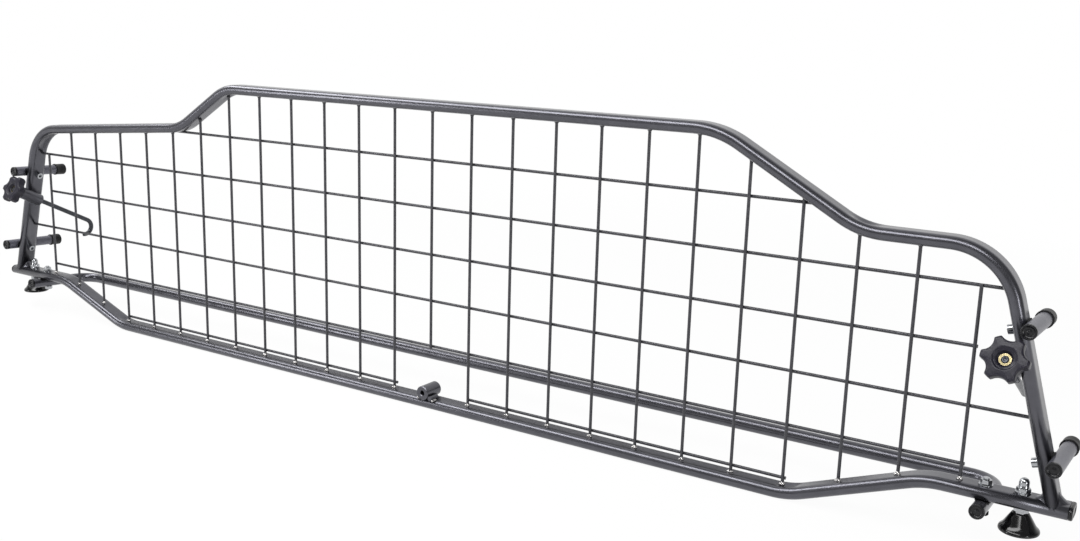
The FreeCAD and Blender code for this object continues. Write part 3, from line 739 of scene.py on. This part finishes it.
@dataclass(frozen=True)
class DropSize:
    """The size of a bead's drops: radius, seed, how they are flattened, and how much they differ."""

    radius: float
    seed: int
    stretch: Triple = (1.0, 1.0, 1.0)
    spread: float = 0.1

    @property
    def inputs(self) -> Sizes:
        """The values for the tree of weld drops."""
        look = {"Size Spread": self.spread, "Stretch": self.stretch, "Seed": self.seed}
        return {"Drop Radius": self.radius * MM, **look}


@dataclass
class WireMesh:
    """The mesh: upright wires between the tubes and level wires behind them.

    A wire's end stands a little past the middle of the wire that it crosses last.
    """

    runs: WireRuns
    past: float = GUARD.wire_radius + 0.25

    def uprights(self) -> list[Vector]:
        """Finds the upright wires.

        Returns:
            Both ends of each wire, one after the other.
        """
        arch, bar = GUARD.arch, GUARD.bar
        ends = []
        for index in GUARD.columns(GUARD.columns_each_side):
            reach = index * GUARD.pitch
            low, high = GUARD.height_on(bar, reach)[0], GUARD.height_on(arch, reach)[0]
            if abs(index) == GUARD.columns_each_side:
                high = GUARD.row(GUARD.rows - 2) + self.past
            if index == GUARD.short_column:
                low = GUARD.row(1) - self.past
            ends += [point(reach, 0, low), point(reach, 0, high)]
        return ends

    def levels(self) -> list[Vector]:
        """Finds the level wires, the lowest in two pieces beside the boss.

        Returns:
            Both ends of each wire, one after the other.
        """
        low_end = int(GUARD.inner_ramp / GUARD.pitch) * GUARD.pitch + self.past
        outer = GUARD.columns_each_side * GUARD.pitch + self.past
        gap = GUARD.short_column * GUARD.pitch
        spans = [(0, -low_end, gap - GUARD.pitch + self.past), (0, gap + GUARD.pitch - self.past, low_end)]
        for row in range(1, GUARD.rows):
            on_tubes = row % 2 == 0 or row == GUARD.rows - 1
            span = GUARD.crossings(GUARD.arch, GUARD.row(row)) if on_tubes else (-outer, outer)
            spans.append((row, *span))
        depth = 2 * GUARD.wire_radius
        return [point(reach, depth, GUARD.row(row)) for row, *span in spans for reach in span]

    def build(self) -> list[Object]:
        """Builds the wires.

        Returns:
            The two pieces.
        """
        sizes = {"Wire Radius": GUARD.wire_radius * MM}
        return [
            self.runs.run(word + "_round_wires", ends, WIRE_COAT, sizes, word + "_wires")
            for word, ends in (("upright", self.uprights()), ("level", self.levels()))
        ]


@dataclass
class FrameWelds:
    """Welds of the frame: fillets at the uprights, and drops on the mesh and at the boss.

    The fillet's hidden side runs inside the tubes, shallower where the fillet thins out.
    """

    drops: WeldDrops
    fillet_leg: float = 7.6
    thin_share: float = 0.3
    knee_share: float = 0.22
    wrap_share: float = 0.985
    skin: float = 0.05
    inset: float = 2.0
    fillet_steps: int = 12
    around_steps: int = 72
    ripple_pitch: float = 2.4
    ripple_depth: float = 0.1
    foot_drops: tuple[Triple, ...] = ((-1.1, -1.3, 0.4), (1.2, -1.0, 0.5), (0.1, -0.3, 1.3))
    head_drops: tuple[Triple, ...] = ((-0.7, 0.2, -0.2), (0.7, -0.2, -0.2), (0.0, 0.0, -1.1))
    cross_margin: float = 10.0
    boss_weld: Triple = (41.9, -10.5, -10.6)
    boss_drops: int = 9
    boss_step: float = 2.2
    wobble: float = 0.15
    pin_weld: Triple = (62.0, -12.0, -10.7)
    pin_drops: int = 4
    pin_step: float = 1.5

    def fillet(self, side: Side, inward: int) -> Object:
        """A smooth coated weld between the bar and one face of an upright.

        Args:
            side: the end of the guard.
            inward: 1 for the face that looks to the middle, -1 for the other.

        Returns:
            The piece.
        """
        radius = GUARD.tube_radius
        rings = []
        for step in range(self.around_steps + 1):
            angle = self.wrap_share * math.pi * (step / self.around_steps - 0.5)
            depth = GUARD.tube_flat * (2 * step / self.around_steps - 1) + radius * math.sin(angle)
            swell = math.cos(angle)
            height = GUARD.bar_height + radius * swell
            ripple = self.ripple_depth * math.cos(2 * math.pi * depth / self.ripple_pitch)
            leg = self.fillet_leg * (self.thin_share + (1 - self.thin_share) * math.sqrt(swell)) + ripple
            offset = (radius * swell + self.skin) / math.cos(GUARD.lean)
            inset, sunk = min(self.inset, 0.9 * offset), height - (self.skin + self.inset * swell)
            corner = GUARD.upright_reach(height) - inward * offset
            base = (corner - inward * leg, height - 0.2 * swell)
            knee = (corner - inward * leg * self.knee_share, height + leg * self.knee_share)
            top = (GUARD.upright_reach(height + leg) - inward * offset, height + leg)
            places = rounded(base, knee, top, self.fillet_steps)
            places += [(top[0] + inward * inset, top[1] - 0.3)]
            places += [(corner + inward * inset, sunk), (base[0] + inward * 0.3, sunk)]
            rings.append([point(side.value * across, depth, up) for across, up in places])
        face = "inner" if inward > 0 else "outer"
        node = "upright_welds" if side is Side.LEFT and inward > 0 else None
        name = "upright_fillet_{}_{}".format(side.word, face)
        return new_piece(name, grid_mesh(rings), TUBE_COAT, "frame", node)

    def wire_ends(
        self, path: Sequence[PathSpot], columns: Sequence[int], side: int, drops: Sequence[Triple]
    ) -> list[Vector]:
        """Points of the drops at the wires' ends on a tube.

        Args:
            path: the tube's centre line.
            columns: the wires, counted from the middle.
            side: 1 for wires that stand on the tube, -1 for wires that hang under it.
            drops: the places of one wire's drops from its end.

        Returns:
            The points.
        """
        spots = []
        for index in columns:
            reach = index * GUARD.pitch
            height, slope = GUARD.height_on(path, reach)
            face = height + side * GUARD.tube_radius * math.hypot(1, slope)
            spots += [point(reach + x, y, face + z) for x, y, z in drops]
        return spots

    def crossings(self) -> list[Vector]:
        """Finds the places where the upright and level wires are fused.

        Returns:
            The points.
        """
        found = []
        for row in range(1, GUARD.rows):
            low, high = GUARD.crossings(GUARD.arch, GUARD.row(row))
            for index in GUARD.columns(GUARD.columns_each_side):
                if low + self.cross_margin < index * GUARD.pitch < high - self.cross_margin:
                    found.append((index, row))
        low_row = GUARD.columns(int(GUARD.inner_ramp / GUARD.pitch))
        found += [(index, 0) for index in low_row if index != GUARD.short_column]
        return [point(index * GUARD.pitch, GUARD.wire_radius, GUARD.row(row)) for index, row in found]

    def boss_spots(self) -> list[Vector]:
        """Places the weld along the left side of the boss, a little uneven, and that of its pin.

        Returns:
            The points of the drops.
        """
        spots = []
        for (x, y, z), count, gap, wobble in (
            (self.boss_weld, self.boss_drops, self.boss_step, self.wobble),
            (self.pin_weld, self.pin_drops, self.pin_step, 0.0),
        ):
            spots += [point(x + wobble * math.sin(step * 2.1), y + gap * step, z) for step in range(count)]
        return spots

    def build(self) -> list[Object]:
        """Builds the frame's welds.

        Returns:
            The pieces.
        """
        last = GUARD.columns_each_side
        standing = [index for index in GUARD.columns(last) if index != GUARD.short_column]
        feet = self.wire_ends(GUARD.bar, standing, 1, self.foot_drops)
        heads = self.wire_ends(GUARD.arch, GUARD.columns(last - 1), -1, self.head_drops)
        pieces = [self.fillet(side, inward) for side in Side for inward in (1, -1)]
        for name, spots, finish, size, node in (
            ("wire_foot_drops", feet, WELD_STEEL, DropSize(1.75, 4, (1.0, 0.9, 0.85), 0.2), "wire_welds"),
            ("boss_weld", self.boss_spots(), WELD_STEEL, DropSize(1.6, 12, (1.0, 1.0, 0.8), 0.15), None),
            ("wire_head_fillets", heads, WIRE_COAT, DropSize(1.8, 7), None),
            ("wire_cross_nuggets", self.crossings(), WIRE_COAT, DropSize(1.25, 9, (1.0, 0.75, 1.0)), None),
        ):
            pieces.append(self.drops.run(name, spots, finish, size.inputs, node))
        return pieces


@dataclass
class HookClamp:
    """One clamp: its star knob, its rod's tip and the welds of its sleeve."""

    side: Side
    drops: WeldDrops
    reach: float = 629.797
    height: float = 129.8
    droop: float = math.radians(27)
    right_turn: float = math.radians(4.5)
    knob_back: float = -31.3
    bore: float = 4.8
    hub_radius: float = 8.5
    hub_length: float = 3.0
    lobe_thickness: float = 10.5
    tip_radius: float = 18.4
    valley_radius: float = 14.3
    scallop_radius: float = 8.8
    lobes: int = 6
    tip_softness: float = 0.6
    edge_radius: float = 2.2
    dish_radius: float = 8.8
    dish_depth: float = 0.9
    recess_radius: float = 6.2
    recess_depth: float = 3.6
    rod_radius: float = 3.02
    rod_front: float = -40.5
    weld_place: Triple = (5.2, 6.3, -10.5)
    weld_step: float = 1.15
    weld_drops: int = 11
    around: int = 180

    @property
    def matrix(self) -> Matrix:
        """Local Z along the rod to the rear, local Y to the front and down."""
        return rod_matrix(self.side.value * self.reach, self.height, self.droop)

    def outline(self, angle: float) -> float:
        """Radius of the star's rim at an angle, its lobes softly rounded.

        Args:
            angle: angle about the rod, from a lobe's tip.

        Returns:
            The radius.
        """
        step = 2 * math.pi / self.lobes
        off = step / 2 - abs((angle + step / 2) % step - step / 2)
        near = centre = self.valley_radius + self.scallop_radius
        across = centre * math.sin(off)
        if abs(across) < self.scallop_radius:
            near = centre * math.cos(off) - math.sqrt(self.scallop_radius**2 - across**2)
        soft = self.tip_softness
        return -soft * math.log(math.exp(-near / soft) + math.exp(-self.tip_radius / soft))

    def knob(self) -> Object:
        """The moulded star knob, from its hub to the bottom of its recess.

        A ring that follows the rim has its distance from the rim and a full share of the
        lobes. The others have their own radius and a small share or none.

        Returns:
            The piece.
        """
        back = self.knob_back - self.hub_length
        front = back - self.lobe_thickness
        edge, hub, dish, recess = self.edge_radius, self.hub_radius, self.dish_radius, self.recess_radius
        floor = front + self.dish_depth
        rings: list[Triple] = [(self.bore, self.knob_back, 0.0), (hub - 0.5, self.knob_back, 0.0)]
        rings += [(hub, self.knob_back - 0.5, 0.0), (hub, back + 0.6, 0.0), (hub + 0.6, back, 0.0)]
        rings += [(hub + 1.4, back, 0.12)]
        bends = [math.pi / 2 * step / 6 for step in range(7)]
        rings += [(-edge * (1 - math.sin(bend)), back - edge * (1 - math.cos(bend)), 1.0) for bend in bends]
        rings += [(0.15, (back + front) / 2, 1.0)]
        bends = [math.pi / 2 * step / 8 for step in range(9)]
        rings += [(-edge * (1 - math.cos(bend)), front + edge * (1 - math.sin(bend)), 1.0) for bend in bends]
        rings += [(dish + 1.2, front - 0.25, 0.1), (dish + 0.4, front - 0.3, 0.0), (dish, front, 0.0)]
        rings += [(dish - 0.35, front + self.dish_depth * 0.8, 0.0), (dish - 0.9, floor, 0.0)]
        rings += [(recess + 0.5, floor, 0.0), (recess, floor + 0.5, 0.0)]
        rings += [(recess, floor + self.recess_depth, 0.0), (self.bore, floor + self.recess_depth, 0.0)]
        rings += [(self.bore, self.knob_back, 0.0)]
        turn = self.right_turn if self.side is Side.RIGHT else 0.0
        rows = []
        for radius, height, lobed in rings:
            base = radius if lobed == 1.0 else radius - self.valley_radius * lobed
            rows.append(circle(self.around, lambda angle: base + self.outline(angle) * lobed, height, turn))
        word = self.side.word
        mesh = grid_mesh(rows, close_ends=False)
        return new_piece("star_knob_" + word, mesh, KNOB_NYLON, "knob_" + word, "knob_" + word, self.matrix)

    def rod_tip(self) -> Object:
        """The turned end of the rod inside the brass.

        Returns:
            The piece.
        """
        radius, front = self.rod_radius, self.rod_front
        profile = profile_of(
            (0.3, front - 0.25), (1.1, front - 0.25), (1.3, front - 0.45), (radius - 0.92, front - 0.4),
            ((radius - 0.82, front - 0.4), (radius, front - 0.2), (radius, front + 0.5), 5),
            (radius, front + 1.5), (0.3, front + 1.5),
        )
        word = self.side.word
        mesh = revolved(profile, 40)
        # The rod's tip takes the same zinc, its dark grey colour painted reflection.
        return new_piece("rod_tip_" + word, mesh, DULL_ZINC_PAINTED_DARK, "hook_" + word, matrix=self.matrix)

    def sleeve_weld(self) -> Object:
        """Drops along the sleeve where it meets the upright, above and below.

        Returns:
            The piece.
        """
        x, y, z = self.weld_place
        spots = [
            self.matrix @ point(self.side.value * x, above * y, z + self.weld_step * step)
            for above in (-1, 1)
            for step in range(self.weld_drops)
        ]
        node = "sleeve_welds" if self.side is Side.RIGHT else None
        size = DropSize(1.9, seed=20 + self.side.value, spread=0.12)
        return self.drops.run("sleeve_weld_" + self.side.word, spots, WELD_COAT, size.inputs, node)

    def build(self) -> list[Object]:
        """Builds the clamp's three pieces."""
        return [self.knob(), self.sleeve_weld(), self.rod_tip()]


@dataclass
class ArmCap:
    """The rubber cap on the rear end of one arm."""

    side: Side
    level: str
    screw_height: float
    tube_end: float
    droop: float = math.radians(2.5)
    offset: float = 9.85
    radius: float = 7.3
    tube_radius: float = 6.27
    length: float = 15.0
    end: float = 2.5
    lip: float = 0.3
    segments: int = 64

    @property
    def matrix(self) -> Matrix:
        """Places local Z along the arm to its rear end, from its screw.

        Returns:
            The matrix, mirrored for the left side.
        """
        across = GUARD.upright_reach(self.screw_height) + self.offset * math.cos(GUARD.lean)
        height = self.screw_height + self.offset * math.sin(GUARD.lean)
        place = rod_matrix(across, height, self.droop, GUARD.lean)
        return Matrix.Scale(self.side.value, 4, (1, 0, 0)) @ place

    def build(self) -> list[Object]:
        """Builds the cap, with a lip at its mouth and a shallow dish in its rear face.

        Returns:
            The piece, in a list.
        """
        back = self.tube_end + self.end
        mouth = back - self.length
        bore, outer, lip = self.tube_radius, self.radius, self.radius + self.lip
        profile = profile_of(
            (bore, self.tube_end), (bore, mouth + 0.3),
            ((bore + 0.28, mouth), (outer, mouth), (lip, mouth + 0.8), 6),
            ((lip, mouth + 1.4), (lip, mouth + 2.2), (outer - 0.1, mouth + 2.6), 5),
            (outer - 0.1, (mouth + back) / 2),
            ((outer, back - 1.8), (outer, back), (outer - 1.8, back), 8),
            (outer - 3.2, back), (outer - 3.6, back - 0.25), (0.6, back - 0.25),
        )
        arm, word = self.level + "_arm_", self.side.word
        name = "rubber_cap_{}_{}".format(self.level, word)
        mesh = revolved(profile, self.segments)
        return [new_piece(name, mesh, RUBBER, arm + word, arm + "cap_" + word, self.matrix)]


@dataclass
class RoundPlug:
    """The moulded plug in the front end of a round tube, its local Z along the tube to the rear."""

    name: str
    body: str
    matrix: Matrix
    node: Optional[str]
    tube_front: float = -24.0
    flange: float = 3.0
    radius: float = 6.3
    neck: float = 5.7
    rim: float = 1.5
    recess: float = 1.3
    segments: int = 56

    def build(self) -> list[Object]:
        """Builds the plug, with a rim around its dished face.

        Returns:
            The piece, in a list.
        """
        radius, seat = self.radius, self.tube_front
        lip, front = seat - 0.35, seat - self.flange
        inner, floor = radius - self.rim, front + self.recess
        profile = profile_of(
            (0.4, seat + 1.0), (self.neck, seat + 1.0), (self.neck, lip),
            ((radius - 0.25, lip), (radius, lip), (radius, lip - 0.25), 3),
            ((radius, front + 0.8), (radius, front), (radius - 0.8, front), 6),
            (inner + 0.2, front), (inner, front + 0.2), (inner - 0.3, floor),
            (1.6, floor), (1.3, floor - 0.3), (0.4, floor - 0.3),
        )
        mesh = revolved(profile, self.segments)
        return [new_piece(self.name, mesh, PLUG_POLYETHYLENE, self.body, self.node, self.matrix)]


@dataclass
class BarPlug:
    """The moulded plug in one end of the bottom bar: a groove, a narrow band and a soft face."""

    side: Side
    flange: float = 3.3
    edge: float = 1.2
    groove: float = 0.4
    neck: float = 1.4
    edge_steps: int = 6
    round_steps: int = 18

    def build(self) -> list[Object]:
        """Builds the plug. Each step has its distance past the tube and how far it stands out from it.

        Returns:
            The piece, in a list.
        """
        flange, edge = self.flange, self.edge
        steps = [(-1.0, -self.neck), (0.05, -self.neck), (0.3, -self.groove), (0.45, 0.0)]
        steps += [(flange - edge, 0.0)]
        for step in range(1, self.edge_steps + 1):
            bend = math.pi / 2 * step / self.edge_steps
            steps.append((flange - edge * (1 - math.sin(bend)), -edge * (1 - math.cos(bend))))
        steps += [(flange, -2.6), (flange - 0.5, -3.0), (flange - 0.5, -5.2)]
        rings = []
        for out, lift in steps:
            reach = self.side.value * (GUARD.bar_end + out)
            section = oval(GUARD.tube_radius + lift, self.round_steps)
            rings.append([point(reach, depth, GUARD.bar_height + height) for depth, height in section])
        node = "bar_end_plugs" if self.side is Side.LEFT else None
        name = "bar_end_cover_" + self.side.word
        return [new_piece(name, grid_mesh(rings), PLUG_POLYETHYLENE, "frame", node)]


@dataclass
class LevellingFoot:
    """One foot: its flared base, its threaded stud and its dome nut."""

    side: Side
    reach: float = 649.0
    base_radius: float = 16.0
    rim_height: float = 2.4
    top_radius: float = 6.9
    height: float = 15.7
    cup_radius: float = 6.05
    cup_floor: float = 12.9
    bore: float = 3.1
    stud_radius: float = 3.0
    thread_depth: float = 0.45
    thread_pitch: float = 1.0
    thread_steps: int = 6
    thread_sides: int = 28
    stud_low: float = 4.0
    stud_high: float = 41.0
    seat: float = 33.1
    dome_radius: float = 4.1
    dome_top: float = 12.4
    hex_height: float = 4.2
    hex_flats: float = 10.0
    crease: float = math.radians(32)
    segments: int = 72

    def base(self) -> Mesh:
        """The flared base with its rim, its waist and the cup for the lock nut.

        Returns:
            The mesh, local Z up the stud.
        """
        outer, rim, top, height = self.base_radius, self.rim_height, self.top_radius, self.height
        profile = profile_of(
            (0.4, 0.0), (outer - 1.6, 0.0),
            ((outer - 1.4, 0.0), (outer, 0.0), (outer, 1.1), 5),
            ((outer, 1.4), (outer - 0.05, rim + 0.3), (outer - 1.3, rim + 1.3), 6),
            ((outer - 3.0, rim + 3.0), (top + 2.0, height - 3.4), (top + 0.5, height - 1.0), 6),
            ((top + 0.2, height - 0.5), (top - 0.1, height), (top - 0.4, height), 4),
            (self.cup_radius, height - 0.1), (self.cup_radius, self.cup_floor),
            (self.bore, self.cup_floor), (self.bore, self.stud_low), (0.4, self.stud_low),
        )
        return revolved(profile, self.segments)

    def stud(self) -> Mesh:
        """The stud with its rolled thread.

        Returns:
            The mesh.
        """
        turns = int((self.stud_high - self.stud_low) / self.thread_pitch)
        rings = []
        for level in range(turns * self.thread_steps + 1):
            rise = level / self.thread_steps

            def thread(angle: float) -> float:
                """Radius of the thread at an angle, from its crest to its root."""
                phase = (rise - angle / (2 * math.pi)) % 1.0
                return self.stud_radius - self.thread_depth * abs(2 * phase - 1)

            rings.append(circle(self.thread_sides, thread, self.stud_low + rise * self.thread_pitch))
        return grid_mesh(rings)

    def flats(self, angle: float) -> float:
        """Distance of the hexagon's flats from the middle at an angle."""
        sixth = math.pi / 3
        return self.hex_flats / 2 / math.cos(sixth / 2 - abs((angle + sixth / 2) % sixth - sixth / 2))

    def dome(self) -> Mesh:
        """The dome nut: a washer face, a hexagon with a round shoulder and a polished dome.

        Returns:
            The mesh.
        """
        corner, seat, dome = self.hex_flats / math.sqrt(3), self.seat, self.dome_radius
        crown, shoulder = seat + self.dome_top - dome, seat + self.hex_height
        profile = [(3.2, seat), (corner + 0.4, seat)]
        profile += [(corner + 0.45, seat + 0.6), (corner + 0.1, seat + 0.95)]
        rings = [circle(self.segments, lambda angle: radius, height) for radius, height in profile]
        hexagon = [(corner, seat + 1.1), (corner, shoulder - 0.9), (corner - 0.5, shoulder - 0.2)]
        for radius, height in hexagon:
            rings.append(circle(self.segments, lambda angle: min(radius, self.flats(angle)), height))
        profile = [(dome + 0.25, shoulder), (dome, shoulder + 0.4), (dome, crown)]
        bends = [math.pi / 2 * step / 9.3 for step in range(1, 10)]
        profile += [(dome * math.cos(bend), crown + dome * math.sin(bend)) for bend in bends]
        rings += [circle(self.segments, lambda angle: radius, height) for radius, height in profile]
        return grid_mesh(rings)

    def build(self) -> list[Object]:
        """Builds the foot.

        Returns:
            Its three pieces.
        """
        word = self.side.word
        place = Matrix.Translation(point(self.side.value * self.reach, 0, 0))
        pieces = [
            new_piece(name + word, mesh, finish, body + word, body + word, place)
            for name, mesh, finish, body in (
                ("flared_foot_", self.base(), FOOT_ABS, "foot_pad_"),
                ("foot_thread_", self.stud(), ZINC, "foot_stud_"),
                ("polished_dome_nut_", self.dome(), ZINC, "dome_nut_"),
            )
        ]
        pieces[-1].modifiers.new("crease", "EDGE_SPLIT").split_angle = self.crease
        return pieces


@dataclass
class Studio:
    """The pale floor, the soft lights and the camera of the photograph.

    The floor's size, its place to the rear and the distance over which its glow rises to
    white are metres. The wall's way points away from the camera, and its edge is in cosines.
    """

    floor_height: float = -22.3
    floor_size: float = 14.0
    floor_back: float = 2.0
    near_glow: float = 0.96
    glow_edge: Pair = (0.8, 1.7)
    fill: float = 0.26
    wall_way: Triple = (-0.54, 0.84, 0.0)
    wall_edge: Pair = (0.05, 0.45)
    camera_place: Triple = (782.825, -932.149, 390.750)
    azimuth: float = -0.5696
    elevation: float = -0.2162
    roll: float = 0.0287
    sensor: float = 36.0
    focal_pixels: float = 1147.0829
    photo_width: float = 1080.0

    def seen(self, tree: NodeTree) -> NodeSocket:
        """Adds nodes that tell rays that show the background from rays that light.

        Args:
            tree: the tree that gets the nodes.

        Returns:
            A socket that is 1 for camera, glossy and transmission rays.
        """
        rays = add_node(tree, "ShaderNodeLightPath", {}).outputs
        found = rays["Is Camera Ray"]
        for kind in ("Is Glossy Ray", "Is Transmission Ray"):
            either = {0: found, 1: rays[kind]}
            found = add_node(tree, "ShaderNodeMath", {"operation": "MAXIMUM"}, either).outputs[0]
        return found

    def backdrop_material(self) -> Material:
        """A matte white paper that the camera sees as white, with a soft shadow near the part.

        Returns:
            The material.
        """
        material = bpy.data.materials.new("white_paper_backdrop")
        tree = empty_tree(material)
        place = {0: add_node(tree, "ShaderNodeTexCoord", {}).outputs["Object"]}
        far = add_node(tree, "ShaderNodeVectorMath", {"operation": "LENGTH"}, place)
        span = {"From Min": self.glow_edge[0], "From Max": self.glow_edge[1], "To Min": self.near_glow}
        fade = add_node(tree, "ShaderNodeMapRange", span, {"Value": far.outputs["Value"]})
        both = {0: self.seen(tree), 1: fade.outputs["Result"]}
        share = add_node(tree, "ShaderNodeMath", {"operation": "MULTIPLY"}, both)
        paper = add_node(tree, "ShaderNodeBsdfDiffuse", {"Color": linear("#F4F4F4")})
        glow = add_node(tree, "ShaderNodeEmission", {"Color": linear("#FFFFFF")})
        mixed = {0: share.outputs[0], 1: paper.outputs[0], 2: glow.outputs[0]}
        sheet = add_node(tree, "ShaderNodeMixShader", {}, mixed)
        add_node(tree, "ShaderNodeOutputMaterial", {}, {"Surface": sheet.outputs[0]})
        return material

    def floor(self) -> None:
        """The floor, a plain square sheet just under the low bar."""
        half = self.floor_size / 2
        mesh = bpy.data.meshes.new("floor")
        corners = [(-half, -half), (half, -half), (half, half), (-half, half)]
        spots = [(x, y + self.floor_back, self.floor_height * MM) for x, y in corners]
        mesh.from_pydata(spots, [], [(0, 1, 2, 3)])
        mesh.materials.append(self.backdrop_material())
        add_object("floor", mesh)

    def lamp(self, name: str, place: Vector, target: Vector, size: Pair, watts: float) -> None:
        """A soft box aimed at a point.

        Args:
            name: the lamp's name.
            place: where it stands, in metres.
            target: what it is aimed at, in metres.
            size: its width and height in metres.
            watts: its power.
        """
        light = bpy.data.lights.new(name, "AREA")
        light.shape = "RECTANGLE"
        light.size, light.size_y = size
        light.energy = watts
        lamp = add_object(name, light)
        lamp.location = place
        lamp.rotation_euler = (target - place).to_track_quat("-Z", "Y").to_euler()

    def world(self) -> None:
        """A white wall behind the guard for the gloss, plain grey elsewhere, and white for the camera."""
        world = bpy.data.worlds.new("studio")
        tree = empty_tree(world)
        way = {0: add_node(tree, "ShaderNodeTexCoord", {}).outputs["Generated"]}
        toward = add_node(tree, "ShaderNodeVectorMath", {"operation": "DOT_PRODUCT", 1: self.wall_way}, way)
        span = {"From Min": self.wall_edge[0], "From Max": self.wall_edge[1]}
        behind = add_node(tree, "ShaderNodeMapRange", span, {"Value": toward.outputs["Value"]})
        both = {0: self.seen(tree), 1: behind.outputs["Result"]}
        wall = add_node(tree, "ShaderNodeMath", {"operation": "MULTIPLY"}, both)
        either = {0: add_node(tree, "ShaderNodeLightPath", {}).outputs["Is Camera Ray"], 1: wall.outputs[0]}
        share = add_node(tree, "ShaderNodeMath", {"operation": "MAXIMUM"}, either)
        mixed = {0: share.outputs[0]}
        for index, strength in ((1, self.fill), (2, 1.0)):
            look = {"Color": linear("#FFFFFF"), "Strength": strength}
            mixed[index] = add_node(tree, "ShaderNodeBackground", look).outputs[0]
        room = add_node(tree, "ShaderNodeMixShader", {}, mixed)
        add_node(tree, "ShaderNodeOutputWorld", {}, {"Surface": room.outputs[0]})
        bpy.context.scene.world = world

    def camera(self) -> None:
        """The camera where the photograph was taken from, fitted to the corners of the mesh."""
        place = Matrix.Translation(point(*self.camera_place))
        level = math.pi / 2
        for angle, axis in ((-self.azimuth, "Z"), (level + self.elevation, "X"), (self.roll, "Z")):
            place = place @ Matrix.Rotation(angle, 4, axis)
        lens = bpy.data.cameras.new("photograph")
        lens.sensor_fit = "HORIZONTAL"
        lens.sensor_width = self.sensor
        lens.lens = self.sensor * self.focal_pixels / self.photo_width
        camera = add_object("photograph", lens)
        camera.matrix_world = place
        bpy.context.scene.camera = camera

    def build(self) -> None:
        """Sets the whole stage."""
        self.floor()
        self.world()
        middle = Vector((0, 0, 0.14))
        self.lamp("high_soft_box", Vector((-0.4, -0.7, 1.45)), middle, (3.6, 0.5), 46)
        self.lamp("left_soft_box", Vector((-1.7, -1.7, 0.5)), Vector((0.3, 0, 0.14)), (0.3, 0.9), 12)
        self.lamp("right_soft_box", Vector((2.2, -0.95, 0.3)), middle, (0.3, 0.6), 7)
        self.camera()
        bpy.context.scene.view_settings.view_transform = "Standard"


def dress_cad() -> int:
    """Gives every CAD node its own finish or that of its slot.

    Returns:
        How many nodes were dressed.
    """
    slots = {part["node"]: part["material_slot"] for part in frame["record"]["subparts"]}
    for name, node in frame["nodes"].items():
        finish = NODE_FINISHES.get(name, SLOT_FINISHES[slots[name]])
        node.data.materials.clear()
        node.data.materials.append(finish.material())
    return len(frame["nodes"])


def main() -> None:
    """Dresses the CAD nodes, builds the pieces and sets the stage."""
    logging.basicConfig(level=logging.INFO, format="%(name)s: %(message)s")
    LOG.info("dressed %d CAD nodes", dress_cad())
    drops = WeldDrops()
    builders: list = [FrameTube("arch_tube", "frame_arch", GUARD.arch, level_ends=True)]
    builders += [FrameTube("bar_tube", "bottom_bar", GUARD.bar), WireMesh(WireRuns()), FrameWelds(drops)]
    for side in Side:
        rail_node = "rail_plugs" if side is Side.LEFT else None
        leg = rod_matrix(side.value * GUARD.rail_reach, GUARD.rail_height, GUARD.rail_droop)
        rail_plug = RoundPlug("rail_cover_" + side.word, "frame", leg, rail_node)
        builders += [HookClamp(side, drops), BarPlug(side), rail_plug]
        for level, screw_height, tube_end in (("upper", 165.8, 47.5), ("lower", 61.8, 53.5)):
            cap = ArmCap(side, level, screw_height, tube_end)
            arm = level + "_arm_"
            names = (arm + "cover_" + side.word, arm + side.word, cap.matrix, arm + "plug_" + side.word)
            builders += [cap, RoundPlug(*names)]
        builders.append(LevellingFoot(side))
    for builder in builders:
        for piece in builder.build():
            LOG.info("built %s, %d faces", piece.name, len(piece.data.polygons))
    Studio().build()


if __name__ == "__main__":
    main()
